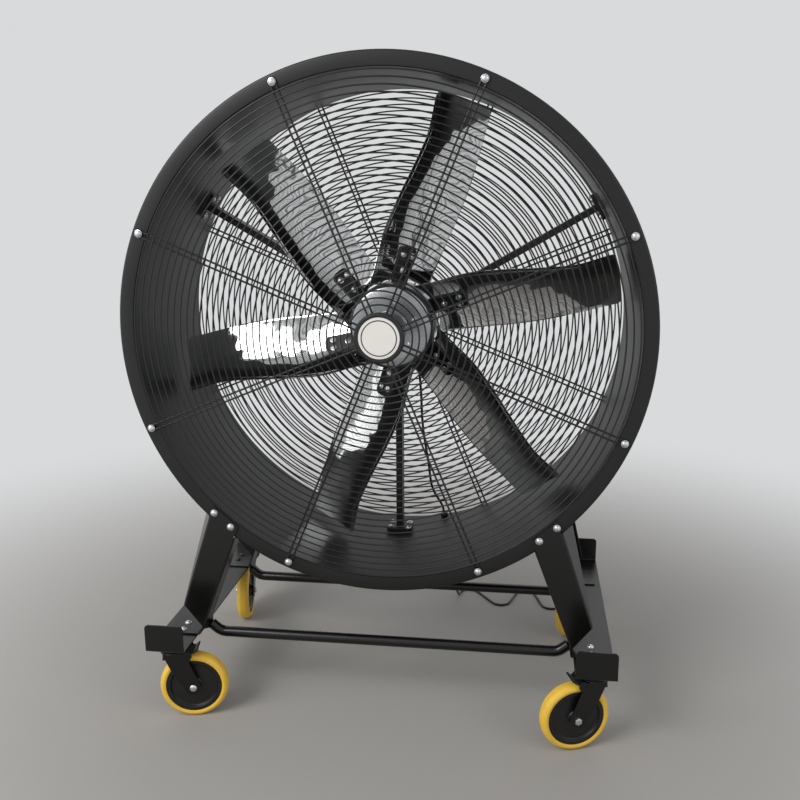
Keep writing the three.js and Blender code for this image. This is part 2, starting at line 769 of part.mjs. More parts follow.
function fork() {
  const inside = forkInside / 2;
  const outside = inside + forkSheet;
  const arms = sheet(forkArm(), inside, outside, 5).add(sheet(forkArm(), -outside, -inside, 5));
  const bridge = box(-forkBack, pedalPivot[0] - forkEar, -outside, outside, forkTop - forkSheet, forkTop);
  const crown = new THREE.CylinderGeometry(crownRadius - 4, crownRadius, crownTop - forkTop + 1, 14);
  crown.rotateX(Math.PI / 2).translate(0, 0, (crownTop + forkTop - 1) / 2);
  const hole = new THREE.CylinderGeometry(axleRadius + 2 * fit, axleRadius + 2 * fit, 2 * outside + 2, 8);
  return union(arms, bridge, solid(crown)).subtract(solid(hole.translate(casterTrail, 0, wheelRadius)));
}

const coreRadius = wheelRadius - tyreThickness;

function wheelCore() {
  const bore = axleRadius + fit;
  const rim = coreRimWidth / 2;
  const web = coreWebWidth / 2;
  const hub = hubWidth / 2;
  const right = [
    [bore, hub],
    [hubRadius, hub],
    [coreRadius - coreRimDepth, web],
    [coreRadius - coreRimDepth, rim],
    [coreRadius, rim],
  ];
  const left = right.map(([r, y]) => [r, -y]).reverse();
  return turned(closedProfile([...right, ...left]), wheelSegments);
}

function tyre() {
  const side = tyreWidth / 2;
  const flat = Math.cos(Math.PI / wheelSegments);
  const outer = wheelRadius / flat; // the flats lie on the wheel's true radius
  const inner = coreRadius + fit / flat + fit;
  return turned(closedProfile([
    [inner, -side + 2],
    [outer - tyreRound, -side],
    [outer - 2, -side + tyreRound - 1],
    [outer, 0],
    [outer - 2, side - tyreRound + 1],
    [outer - tyreRound, side],
    [inner, side - 2],
  ]), wheelSegments);
}

function axle() {
  const seat = forkInside / 2 + forkSheet + fit;
  const head = axleHeadHeight;
  return turned([
    [0, -seat - head],
    [axleHeadRadius * 0.6, -seat - head * 0.85],
    [axleHeadRadius, -seat - head * 0.3],
    [axleHeadRadius, -seat],
    [axleRadius, -seat],
    [axleRadius, seat],
    [axleHeadRadius, seat],
    [axleHeadRadius, seat + head],
    [0, seat + head],
  ], 8);
}

function pedal() {
  const [pivotX, pivotZ] = pedalPivot;
  const rod = new THREE.CylinderGeometry(pedalPin, pedalPin, forkInside - 2 * fit, 8).translate(pivotX, 0, pivotZ);
  const lever = plate([
    [pivotX - 2, -pedalWidth / 2, pivotZ],
    [pivotX + pedalLength, -pedalWidth / 2, pivotZ + pedalRise],
    [pivotX + pedalLength, pedalWidth / 2, pivotZ + pedalRise],
    [pivotX - 2, pedalWidth / 2, pivotZ],
  ], [0, 0, pedalThickness]);
  return solid(rod).add(lever);
}

const forkShape = geometryOf(fork());
const plateShape = geometryOf(casterPlate());
for (const { tag, x, y, turn, brake } of casters) {
  const stand = new THREE.Group();
  stand.position.set(x * railCentre, y * (railHalfLength - casterSetback), 0);
  fan.add(stand);
  place(`caster_plate_${tag}`, plateShape.clone(), zinc, stand);
  const swivel = new THREE.Group();
  swivel.rotation.z = degrees(turn);
  stand.add(swivel);
  place(`caster_fork_${tag}`, forkShape.clone(), powderCoat, swivel);
  const wheel = new THREE.Group();
  wheel.position.set(casterTrail, 0, wheelRadius);
  wheel.rotation.y = Math.PI / wheelSegments;
  swivel.add(wheel);
  place(`wheel_core_${tag}`, wheelCore(), blackNylon, wheel);
  place(`wheel_tyre_${tag}`, tyre(), tyreYellow, wheel);
  place(`axle_bolt_${tag}`, axle().translate(casterTrail, 0, wheelRadius), zinc, swivel);
  if (brake) {
    place(`brake_pedal_${tag}`, pedal(), blackNylon, swivel);
  }
}

// ---- motor cable, gland and power cord

const wallInside = boreRadius * facet;
const wallOutside = (boreRadius + drumWall) * facet;

function gland() {
  const seatIn = wallInside - fit;
  const seatOut = wallOutside + fit;
  const geometry = turned([
    [0, seatIn - glandNutHeight],
    [glandNutRadius - 2, seatIn - glandNutHeight],
    [glandNutRadius, seatIn - glandNutHeight + 2],
    [glandNutRadius, seatIn],
    [glandNeck, seatIn],
    [glandNeck, seatOut],
    [glandNutRadius, seatOut],
    [glandNutRadius, seatOut + 5],
    [glandNutRadius - 4, seatOut + 7],
    [cableRadius + 1.2, seatOut + glandSleeve],
    [0, seatOut + glandSleeve],
  ], 12);
  return alongRadius(geometry, glandAngle).translate(0, glandY, 0);
}

place('cord_gland', gland(), blackNylon, drum);

function atGland(radius) {
  const [x, z] = onCircle(radius, glandAngle);
  return new THREE.Vector3(x, glandY, z);
}

function cableStart(radius) {
  const [x, z] = onCircle(radius, cableStartAngle);
  return new THREE.Vector3(x, statorFront + statorThickness / 2, z);
}

const glandInside = wallInside - fit - glandNutHeight - fit;
const motorCable = new THREE.CatmullRomCurve3([
  cableStart(statorRadius + fit),
  cableStart(statorRadius + 12),
  ...cableRoute.map((point) => new THREE.Vector3(...point)),
  atGland(glandInside - 22),
  atGland(glandInside - 8),
  atGland(glandInside),
], false, 'centripetal');
place('motor_cable', tube(motorCable, cableRadius, cordSides, 13), cordBlack, drum);

const sleeveEnd = wallOutside + fit + glandSleeve;
const cordExit = atGland(sleeveEnd + fit).setZ(atGland(sleeveEnd + fit).z + axisHeight);
const exitWay = atGland(1).setY(0);

// The coil: loops that spiral in on the floor, climb a layer where they turn, and spiral out again.
const coilTurns = coilTurnsPerLayer * 2;
const coilSteps = 16;

function coilPoint(turnsDone) {
  const toMiddle = Math.abs(turnsDone - coilTurnsPerLayer);
  const radius = coilInner + coilPitch * toMiddle;
  const climb = THREE.MathUtils.clamp((turnsDone - coilTurnsPerLayer + 0.25) * 2, 0, 1);
  const angle = degrees(coilStartAngle) - turnsDone * 2 * Math.PI;
  return new THREE.Vector3(
    coilCentre[0] + radius * Math.cos(angle),
    coilCentre[1] + radius * Math.sin(angle),
    cordLift + climb * coilLayer);
}

const coilLoops = [];
for (let i = 0; i <= coilTurns * coilSteps; i += 1) {
  coilLoops.push(coilPoint(i / coilSteps));
}

// A straight run that leaves an end of the coil along its tangent.
function straightOff(end, before, length) {
  const way = end.clone().sub(before).setZ(0).normalize();
  return end.clone().addScaledVector(way, length);
}

const coilEntry = straightOff(coilLoops[0], coilLoops[1], 2 * cableRadius);
const coilLeave = straightOff(coilLoops.at(-1), coilLoops.at(-2), coilTail);
const coilPath = [coilEntry, ...coilLoops, coilLeave];

function leastGap(points, diameter, skip) {
  let least = Infinity;
  points.forEach((point, i) => {
    for (let j = i + skip; j < points.length; j += 1) {
      least = Math.min(least, point.distanceTo(points[j]) - diameter);
    }
  });
  return least;
}

console.log(`least gap of the cord coil to itself: ${leastGap(coilPath, 2 * cableRadius, 12).toFixed(2)} mm`);
place('cord_coil', tube(new Route(coilPath), cableRadius, 6, coilPath.length - 1), cordBlack);

const entryWay = coilPath[1].clone().sub(coilEntry).normalize();
const cordEnd = coilEntry.clone().addScaledVector(entryWay, -fit);
const cordRun = new THREE.CatmullRomCurve3([
  cordExit,
  cordExit.clone().addScaledVector(exitWay, 12),
  ...cordRoute.map((point) => new THREE.Vector3(...point)),
  cordEnd.clone().addScaledVector(entryWay, -16),
  cordEnd,
], false, 'centripetal');
place('power_cord', tube(cordRun, cableRadius, cordSides, 56), cordBlack);

// The plug lies beside the coil, on its flat side.
const leaveWay = coilLeave.clone().sub(coilPath.at(-2)).normalize();

function plug() {
  const body = turned([
    [0, 0],
    [cableRadius + 1.2, 0],
    [cableRadius + 2.4, 14],
    [plugRadius * 0.7, plugLength * 0.44],
    [plugRadius, plugLength * 0.6],
    [plugRadius, plugLength - 4],
    [plugRadius - 3, plugLength],
    [0, plugLength],
  ], 12).scale(1, 1, plugFlatness);
  let whole = solid(body);
  for (const side of [-1, 1]) {
    const pin = new THREE.CylinderGeometry(plugPinRadius, plugPinRadius, plugPinLength + 2, 8);
    pin.translate((side * plugPinSpacing) / 2, plugLength + plugPinLength / 2 - 1, 0);
    whole = whole.add(solid(pin));
  }
  return geometryOf(whole);
}

const plugMesh = place('cord_plug', plug(), blackNylon);
plugMesh.quaternion.setFromUnitVectors(new THREE.Vector3(0, 1, 0), leaveWay);
plugMesh.position.copy(coilLeave).addScaledVector(leaveWay, fit);

export default fan;
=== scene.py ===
# A mobile drum fan of the 48 inch class, dressed for a studio picture: black powder-coated steel drum and
# stand, coated wire guards, bright stainless blades, zinc bolts and yellow polyurethane casters.
# Sizes are in millimetres and are turned to metres where a mesh is made. +Z is up and -Y is the front.
import math

import bmesh
import bpy
from mathutils import Matrix, Vector


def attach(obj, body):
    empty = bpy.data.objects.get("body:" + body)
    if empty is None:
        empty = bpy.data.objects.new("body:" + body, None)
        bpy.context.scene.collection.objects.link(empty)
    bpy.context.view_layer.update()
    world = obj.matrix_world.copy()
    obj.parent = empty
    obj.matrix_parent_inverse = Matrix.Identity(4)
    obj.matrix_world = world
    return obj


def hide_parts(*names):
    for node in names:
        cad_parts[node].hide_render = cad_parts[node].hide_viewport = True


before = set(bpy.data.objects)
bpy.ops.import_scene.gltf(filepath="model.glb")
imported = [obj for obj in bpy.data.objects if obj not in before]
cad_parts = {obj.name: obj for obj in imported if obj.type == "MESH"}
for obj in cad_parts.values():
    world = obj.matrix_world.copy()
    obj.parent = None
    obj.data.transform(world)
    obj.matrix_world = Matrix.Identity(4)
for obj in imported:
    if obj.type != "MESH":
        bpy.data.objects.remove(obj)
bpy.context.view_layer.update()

# ---------------------------------------------------------------- camera
# The photographer stood a little to the right of the fan, with the lens at chest height and tipped down.
# Place, turn, lens and shift were fitted to the two rims, the bolts, the rails and the casters.


def linked(name, data):
    """A new object in the scene."""
    made = bpy.data.objects.new(name, data)
    bpy.context.scene.collection.objects.link(made)
    return made


camera = linked("camera", bpy.data.cameras.new("camera"))
bpy.context.scene.camera = camera
camera.location = (0.3475, -2.2461, 1.3371)
camera.rotation_euler = (math.radians(77.88), 0, math.radians(6.9))
camera.data.sensor_width = 36
camera.data.lens = 38.72
camera.data.shift_x = -0.0274
camera.data.shift_y = -0.0245
camera.data.clip_end = 200

# ---------------------------------------------------------------- cords
# The mains lead is round black PVC, 7 mm thick. It drops from its gland under the drum, wanders over the
# floor behind the fan and ends in a wound coil with a moulded two-pin plug. A second lead feeds the motor.


def linear(hex_colour):
    """An sRGB hex colour as the linear RGBA that shaders take."""
    channels = [int(hex_colour[i:i + 2], 16) / 255 for i in (1, 3, 5)]
    return tuple(c / 12.92 if c <= 0.04045 else ((c + 0.055) / 1.055) ** 2.4 for c in channels) + (1.0,)


def feed(node, links):
    """Links sources to a node's inputs; a source is a socket, or a node for its first output."""
    for socket, source in links.items():
        node.id_data.links.new(getattr(source, "outputs", [source])[0], node.inputs[socket])


def add(tree, kind, settings=None, inputs=None, links=None):
    """Adds a node with its settings, its inputs' values and what feeds it."""
    made = tree.nodes.new(kind)
    for name, value in (settings or {}).items():
        setattr(made, name, value)
    for socket, value in (inputs or {}).items():
        made.inputs[socket].default_value = value
    feed(made, links or {})
    return made


def surface(name, colour, values):
    """A new material with its shader's colour and plain values; gives it, its tree, its shader and the
    socket of the place on the object."""
    made = bpy.data.materials.new(name)
    made.use_nodes = True
    tree = made.node_tree
    shader = tree.nodes["Principled BSDF"]
    shader.inputs["Base Color"].default_value = linear(colour)
    for socket, value in values.items():
        shader.inputs[socket].default_value = value
    return made, tree, shader, add(tree, "ShaderNodeTexCoord").outputs["Object"]


mix_a, mix_b, mixed = 6, 7, 2  # a Mix node's two colour inputs, and its colour output

# Soft PVC sheath: satin black with a fine drawn grain and a trace of dust.
pvc, tree, shader, where = surface("pvc_sheath", "#141414", {"Roughness": 0.46, "IOR": 1.53})
grain = add(tree, "ShaderNodeTexNoise", inputs={"Scale": 1400.0, "Detail": 2.0}, links={"Vector": where})
dust = add(tree, "ShaderNodeTexNoise", inputs={"Scale": 30.0, "Detail": 4.0}, links={"Vector": where})
tone = add(tree, "ShaderNodeMix", {"data_type": "RGBA"}, {mix_a: linear("#111111"), mix_b: linear("#232322")},
           {0: dust})
bump = add(tree, "ShaderNodeBump", inputs={"Strength": 0.15, "Distance": 0.0002}, links={"Height": grain})
feed(shader, {"Base Color": tone.outputs[mixed], "Normal": bump})

gap = 0.3  # left between pieces that touch, as in the frame
axis_height = 1002
cord_radius = 3.5
cord_lift = 3.9  # height of the cord's middle where it lies on the floor
gland_angle = -78.75  # degrees, round the drum's axis
gland_y = 196
gland_end = 657.96  # radius at which the gland's sleeve ends
coil_centre = (560, 500)
coil_inner = 29  # radius of the innermost turn
coil_pitch = 7.8
coil_layer = 7.6
coil_turns = 8
coil_tail = 34  # straight run from the coil to the plug


def arc(x, y, radius, angles):
    """Points of a circle, from its middle, its radius and their angles in degrees."""
    return [(x + radius * math.cos(math.radians(a)), y + radius * math.sin(math.radians(a))) for a in angles]


def on_circle(radius, angle, y=0, height=axis_height):
    """A point on a circle round the drum's axis; angle is in degrees as seen from the front."""
    (x, z), = arc(0, height, radius, [angle])
    return Vector((x, y, z))


def smooth_way(points, steps):
    """Points along a centripetal Catmull-Rom curve through the given ones."""
    ends = [points[0] * 2 - points[1], *points, points[-1] * 2 - points[-2]]
    way = []
    for a, b, c, d in zip(ends, ends[1:], ends[2:], ends[3:]):
        t0 = 0
        t1 = t0 + (b - a).length ** 0.5
        t2 = t1 + (c - b).length ** 0.5
        t3 = t2 + (d - c).length ** 0.5
        for k in range(steps):
            t = t1 + (t2 - t1) * k / steps
            ab = a.lerp(b, (t - t0) / (t1 - t0))
            bc = b.lerp(c, (t - t1) / (t2 - t1))
            cd = c.lerp(d, (t - t2) / (t3 - t2))
            abc = ab.lerp(bc, (t - t0) / (t2 - t0))
            bcd = bc.lerp(cd, (t - t1) / (t3 - t1))
            way.append(abc.lerp(bcd, (t - t1) / (t2 - t1)))
    return [*way, points[-1]]


def piece(name, data, body="frame", stands_for=()):
    """A piece of the fan: it rides on its body and replaces its CAD nodes."""
    made = linked(name, data)
    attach(made, body)
    if stands_for:
        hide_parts(*stands_for)
    return made


def round_lead(name, points, resolution, stands_for):
    """A round lead: a curve of one spline through the points."""
    data = bpy.data.curves.new(name, "CURVE")
    data.dimensions = "3D"
    data.bevel_depth = cord_radius / 1000
    data.bevel_resolution = 4
    data.resolution_u = resolution
    data.use_fill_caps = True
    spline = data.splines.new("BEZIER")
    spline.bezier_points.add(len(points) - 1)
    for place, point in zip(spline.bezier_points, points):
        place.co = Vector(point) / 1000
        place.handle_left_type = place.handle_right_type = "AUTO"
    data.materials.append(pvc)
    return piece(name, data, stands_for=stands_for)


def coil_point(turns):
    """The cord's middle after so many turns: in to the middle of the coil, up a layer, and out again."""
    radius = coil_inner + coil_pitch * abs(turns - coil_turns / 2)
    climb = min(max((turns - coil_turns / 2 + 0.25) * 2, 0), 1)
    angle = math.pi - turns * 2 * math.pi
    return Vector((coil_centre[0] + radius * math.cos(angle), coil_centre[1] + radius * math.sin(angle),
                   cord_lift + climb * coil_layer))


coil_steps = 16
coil = [coil_point(k / coil_steps) for k in range(coil_turns * coil_steps + 1)]
coil_way = (coil[-1] - coil[-2]).normalized()
plug_seat = coil[-1] + coil_way * coil_tail
cord_exit = on_circle(gland_end + gap, gland_angle, gland_y)
exit_way = on_circle(1, gland_angle, 0, 0)
# The drop from the gland to the floor, then each bend on the floor: its centre, the angles at which the cord
# joins and leaves it, and its count of points.
cord_drop = [(131, 204, 319), (133, 237, 259), (136, 283, 190), (140, 335, 124), (144, 388, 66),
             (146, 430, 30), (147, 460, 11)]
cord_curve = 31
cord_bends = [(181, 486, 180, 36.4, 6), (289, 444, -143.6, -18, 6), (372, 499, 162, 17, 7),
              (456, 436, -163, -15.6, 7)]
cord_floor = []
for x, y, start, end, count in cord_bends:
    angles = [start + (end - start) * k / (count - 1) for k in range(count)]
    cord_floor += [Vector((*point, cord_lift)) for point in arc(x, y, cord_curve, angles)]
cord_floor[0].z += 0.4  # the cord comes down on to the floor here
coil_entry = (coil[1] - coil[0]).normalized()
entry = coil[0] - coil_entry * 2 * cord_radius
lead_way = smooth_way([cord_exit, cord_exit + exit_way * 12, *[Vector(p) for p in cord_drop], *cord_floor,
                      entry - coil_entry * 16, entry], 3)
lead_way += [*coil, coil[-1] + coil_way * 12, plug_seat]
mains_lead = round_lead("mains_lead", lead_way, 4, ["power_cord", "cord_coil"])

# The motor's own lead hangs inside the drum from the stator to the gland, behind the arms and before the rear
# guard.
lead_angle = -62
stator_exit = 98.3  # radius at which it leaves the stator
stator_y = 76
motor_hang = [(60, 97, -185), (64, 120, -310), (76, 158, -430), (86, 186, -520)]  # z is from the drum's axis
gland_inside = 611.4  # radius at which the gland's nut ends
motor_way = [on_circle(stator_exit, lead_angle, stator_y), on_circle(110, lead_angle, stator_y),
             *[Vector((x, y, z + axis_height)) for x, y, z in motor_hang],
             *[on_circle(gland_inside - back, gland_angle, gland_y) for back in (22, 8, 0)]]
round_lead("motor_lead", smooth_way(motor_way, 3), 2, ["motor_cable"])

# ---------------------------------------------------------------- drum
# One wall of 3 mm sheet steel, rolled and butt-welded, with a turned flange at each end that is folded over
# to a lip, powder-coated satin black.

bore = 622  # radius
wall = 3
rim = 660  # radius
half_depth = 220
lip = 14


def rounded(corners, steps=4):
    """A closed outline of [x, y, radius] with each corner turned into an arc."""
    out = []
    for i, (x, y, r) in enumerate(corners):
        here = Vector((x, y))
        to_last = (Vector(corners[i - 1][:2]) - here).normalized()
        to_next = (Vector(corners[(i + 1) % len(corners)][:2]) - here).normalized()
        angle = to_last.angle(to_next)
        if r == 0 or angle > math.pi - 1e-3:
            out.append((x, y))
            continue
        middle = here + (to_last + to_next).normalized() * (r / math.sin(angle / 2))
        start = here + to_last * (r / math.tan(angle / 2)) - middle
        sweep = start.angle_signed(here + to_next * (r / math.tan(angle / 2)) - middle)
        for k in range(steps + 1):
            turn = -sweep * k / steps
            out.append((middle.x + start.x * math.cos(turn) - start.y * math.sin(turn),
                        middle.y + start.x * math.sin(turn) + start.y * math.cos(turn)))
    return out


def turned(profile, segments, closed=True):
    """Turns [radius, y] points round the Y axis. A point on the axis becomes one pole."""
    points, rows, faces = [], [], []
    for r, y in profile:
        if r < 1e-6:
            rows.append([len(points)] * segments)
            points.append((0, y, 0))
            continue
        rows.append(list(range(len(points), len(points) + segments)))
        points += [(r * math.sin(2 * math.pi * k / segments), y, r * math.cos(2 * math.pi * k / segments))
                   for k in range(segments)]
    pairs = list(zip(rows, rows[1:])) + ([(rows[-1], rows[0])] if closed else [])
    for a, b in pairs:
        for k in range(segments):
            n = (k + 1) % segments
            face = list(dict.fromkeys((a[k], a[n], b[n], b[k])))
            if len(face) > 2:
                faces.append(face)
    return points, faces


def moved(shape, *matrices):
    """A shape with matrices applied to it, the last one first."""
    whole = Matrix.Identity(4)
    for matrix in matrices:
        whole = whole @ matrix
    return [tuple(whole @ Vector(p)) for p in shape[0]], shape[1]


def joined(*shapes):
    """Several shapes as one."""
    points, faces = [], []
    for more, corners in shapes:
        faces += [[i + len(points) for i in face] for face in corners]
        points += more
    return points, faces


def smoothed(data, angle=32):
    """Shades a mesh smooth but for its edges sharper than an angle."""
    data.shade_smooth()
    data.set_sharp_from_angle(angle=math.radians(angle))


def mesh_of(name, shape, material):
    """A mesh from a shape in millimetres, with its doubles merged and its normals out."""
    data = bpy.data.meshes.new(name)
    data.from_pydata([tuple(c / 1000 for c in p) for p in shape[0]], [], shape[1])
    sheet = bmesh.new()
    sheet.from_mesh(data)
    bmesh.ops.remove_doubles(sheet, verts=sheet.verts, dist=1e-6)
    bmesh.ops.recalc_face_normals(sheet, faces=sheet.faces)
    sheet.to_mesh(data)
    sheet.free()
    smoothed(data)
    data.materials.append(material)
    return data


def part(name, shape, material, body="frame", stands_for=()):
    """A piece made from a shape in millimetres."""
    return piece(name, mesh_of(name, shape, material), body, stands_for)


def softened(made, width, segments=2, angle=40):
    """Rounds a piece's sharp edges by a bevel of that width in millimetres."""
    edge = made.modifiers.new("edges", "BEVEL")
    edge.width = width / 1000
    edge.segments = segments
    edge.limit_method = "ANGLE"
    edge.angle_limit = math.radians(angle)
    edge.harden_normals = True


def at(x, y, z):
    """A move, in millimetres."""
    return Matrix.Translation((x, y, z))


def spun(angle, axis):
    """A turn by degrees about X, Y or Z."""
    return Matrix.Rotation(math.radians(angle), 4, axis)


def powder_coating(name, low, high):
    """Black polyester powder coat; low and high are its least and greatest roughness."""
    made, tree, shader, where = surface(name, "#0d0d0c", {"Roughness": (low + high) / 2, "IOR": 1.46})
    peel = add(tree, "ShaderNodeTexNoise", inputs={"Scale": 450.0, "Detail": 2.0}, links={"Vector": where})
    cloud = add(tree, "ShaderNodeTexNoise", inputs={"Scale": 5.0, "Detail": 5.0}, links={"Vector": where})
    tone = add(tree, "ShaderNodeMix", {"data_type": "RGBA"},
               {mix_a: linear("#080807"), mix_b: linear("#121211")}, {0: cloud})
    gloss = add(tree, "ShaderNodeMapRange", inputs={"To Min": low, "To Max": high}, links={"Value": cloud})
    bump = add(tree, "ShaderNodeBump", inputs={"Strength": 0.12, "Distance": 0.0004}, links={"Height": peel})
    feed(shader, {"Base Color": tone.outputs[mixed], "Roughness": gloss, "Normal": bump})
    return made


# Powder coat with a faint orange peel of about 2 mm and uneven gloss: satin on the drum, where it keeps the
# wide wall dark, and semi-gloss on the stand, whose flat faces pick up the room.
powder_coat = powder_coating("satin_powder_coat", 0.36, 0.52)
stand_coat = powder_coating("semi_gloss_powder_coat", 0.2, 0.34)

lift = at(0, 0, axis_height)
flange_inside = half_depth - 4
lip_end = half_depth - lip
front_half = [(bore, -half_depth, 3), (rim, -half_depth, 6), (rim, -lip_end, 1), (rim - wall, -lip_end, 1),
              (rim - wall, -flange_inside, 3), (bore + wall, -flange_inside, 3)]
drum_section = rounded(front_half + [(r, -y, corner) for r, y, corner in reversed(front_half)])
part("drum", moved(turned(drum_section, 192), lift), powder_coat, stands_for=["drum_shell"])

# ---------------------------------------------------------------- wire guards
# Each guard is 33 rings of 4 mm wire, spot-welded to eight pairs of 5 mm spokes whose ends the rim bolts
# clamp to the flange. Both are dipped in black coating.

spoke_wire = 2.5  # radius
ring_wire = 2.0  # radius
spoke_y = -half_depth - gap - spoke_wire
ring_y = spoke_y - spoke_wire - 0.1  # a ring's wire is sunk into the spokes' where they are welded
spoke_pairs = 8  # and as many rim bolts
first_bolt = 22.5  # degrees

# Dip-coated wire: thicker, glossier paint than the drum's, with slight runs along the wire.
wire_coat, tree, shader, where = surface("dip_coated_wire", "#0d0d0d", {"Roughness": 0.34, "IOR": 1.5})
runs = add(tree, "ShaderNodeTexNoise", inputs={"Scale": 260.0, "Detail": 2.0}, links={"Vector": where})
bump = add(tree, "ShaderNodeBump", inputs={"Strength": 0.2, "Distance": 0.0003}, links={"Height": runs})
feed(shader, {"Normal": bump})


def tree_with(name, **inputs):
    """An empty Geometry Nodes tree with named inputs; gives the tree, its inputs' sockets and their ids."""
    kinds = {int: "NodeSocketInt", float: "NodeSocketFloat", bpy.types.Material: "NodeSocketMaterial"}
    made = bpy.data.node_groups.new(name, "GeometryNodeTree")
    made.interface.new_socket("Geometry", in_out="INPUT", socket_type="NodeSocketGeometry")
    made.interface.new_socket("Geometry", in_out="OUTPUT", socket_type="NodeSocketGeometry")
    ids = {}
    for key, value in inputs.items():
        socket = made.interface.new_socket(key, in_out="INPUT", socket_type=kinds[type(value)])
        if type(value) is not bpy.types.Material:
            socket.default_value = value
        ids[socket.identifier] = value
    return made, made.nodes.new("NodeGroupInput").outputs, ids


def set_round(tree, shape, count, first_angle, place):
    """Nodes that set a shape, made at the +X side, evenly round the Y axis, and then move all of it."""
    index = add(tree, "GeometryNodeInputIndex")
    share = add(tree, "ShaderNodeMath", {"operation": "DIVIDE"}, {0: -360.0}, {1: count})
    turn = add(tree, "ShaderNodeMath", {"operation": "MULTIPLY"}, links={0: index, 1: share})
    turn = add(tree, "ShaderNodeMath", {"operation": "SUBTRACT"}, links={0: turn, 1: first_angle})
    turn = add(tree, "ShaderNodeMath", {"operation": "RADIANS"}, links={0: turn})
    turn = add(tree, "ShaderNodeCombineXYZ", links={1: turn})
    spots = add(tree, "GeometryNodeMeshLine", inputs={"Offset": (0, 0, 0)}, links={"Count": count})
    copies = add(tree, "GeometryNodeInstanceOnPoints",
                 links={"Points": spots, "Instance": shape, "Rotation": turn})
    real = add(tree, "GeometryNodeRealizeInstances", links={0: copies})
    return add(tree, "GeometryNodeTransform", links={0: real, "Translation": place})


def coat_all(tree, shape, coat):
    """Ends a tree: what it has made becomes real and takes its coat."""
    real = add(tree, "GeometryNodeRealizeInstances", links={0: shape})
    coated = add(tree, "GeometryNodeSetMaterial", links={0: real, "Material": coat})
    add(tree, "NodeGroupOutput", links={0: coated})


def grown(name, shape, tree, ids, material, body="frame", slot="powder_coat", stands_for=(), angle=32):
    """Runs a node tree on a shape and keeps the result as a plain mesh that rides on its body."""
    seed = linked(f"{name}_seed", mesh_of(f"{name}_seed", shape, material))
    step = seed.modifiers.new("grow", "NODES")
    step.node_group = tree
    for identifier, value in ids.items():
        step[identifier] = value
    bpy.context.view_layer.update()
    data = bpy.data.meshes.new_from_object(seed.evaluated_get(bpy.context.evaluated_depsgraph_get()))
    data.name = name
    bpy.data.objects.remove(seed)
    smoothed(data, angle)
    piece(name, data, body, stands_for)


def wire_guard(name, side, node):
    """One guard; side is 1 for the front and -1 for the rear."""
    tree, given, ids = tree_with(
        name, Rings=33, First=0.080, Step=0.01677, Ring_wire=ring_wire / 1000, Ring_y=side * ring_y / 1000,
        Spokes=spoke_pairs, First_angle=first_bolt, Pair_gap=0.013, Inner=0.044, Outer=0.649,
        Spoke_wire=spoke_wire / 1000, Spoke_y=side * spoke_y / 1000, Axis=axis_height / 1000, Coat=wire_coat)
    # rings
    index = add(tree, "GeometryNodeInputIndex")
    spots = add(tree, "GeometryNodeMeshLine", inputs={"Offset": (0, 0, 0)}, links={"Count": given["Rings"]})
    size = add(tree, "ShaderNodeMath", {"operation": "MULTIPLY_ADD"},
               links={0: index, 1: given["Step"], 2: given["First"]})
    circle = add(tree, "GeometryNodeCurvePrimitiveCircle", inputs={"Resolution": 168, "Radius": 1.0})
    rings = add(tree, "GeometryNodeInstanceOnPoints", inputs={"Rotation": (math.pi / 2, 0, 0)},
                links={"Points": spots, "Instance": circle, "Scale": size})
    rings = add(tree, "GeometryNodeRealizeInstances", links={0: rings})
    place = add(tree, "ShaderNodeCombineXYZ", links={1: given["Ring_y"], 2: given["Axis"]})
    rings = add(tree, "GeometryNodeTransform", links={0: rings, "Translation": place})
    section = add(tree, "GeometryNodeCurvePrimitiveCircle", inputs={"Resolution": 6},
                  links={"Radius": given["Ring_wire"]})
    rings = add(tree, "GeometryNodeCurveToMesh", links={0: rings, 1: section})
    # pairs of spokes
    across = add(tree, "ShaderNodeMath", {"operation": "MULTIPLY"}, {1: 0.5}, {0: given["Pair_gap"]})
    pair = add(tree, "GeometryNodeJoinGeometry")
    for sign in (1, -1):
        shift = add(tree, "ShaderNodeMath", {"operation": "MULTIPLY"}, {1: sign}, {0: across})
        start = add(tree, "ShaderNodeCombineXYZ", links={0: given["Inner"], 2: shift})
        end = add(tree, "ShaderNodeCombineXYZ", links={0: given["Outer"], 2: shift})
        feed(pair, {0: add(tree, "GeometryNodeCurvePrimitiveLine", links={"Start": start, "End": end})})
    place = add(tree, "ShaderNodeCombineXYZ", links={1: given["Spoke_y"], 2: given["Axis"]})
    spokes = set_round(tree, pair, given["Spokes"], given["First_angle"], place)
    section = add(tree, "GeometryNodeCurvePrimitiveCircle", inputs={"Resolution": 8},
                  links={"Radius": given["Spoke_wire"]})
    spokes = add(tree, "GeometryNodeCurveToMesh", inputs={"Fill Caps": True}, links={0: spokes, 1: section})
    whole = add(tree, "GeometryNodeJoinGeometry")
    feed(whole, {0: rings})
    feed(whole, {0: spokes})
    coat_all(tree, whole, given["Coat"])
    start_shape = ([(0, 0, 0), (1, 0, 0), (0, 0, 1)], [[0, 1, 2]])  # the tree makes all of it and drops this
    grown(name, start_shape, tree, ids, wire_coat, slot="guard_wire", stands_for=[node], angle=70)


wire_guard("guard_front", 1, "front_guard")
wire_guard("guard_rear", -1, "rear_guard")

# ---------------------------------------------------------------- rim bolts
# Domed M8 bolts in bright zinc, on flat washers, hold the guards to the flanges: eight at each end of the
# drum, between the two wires of each spoke pair.

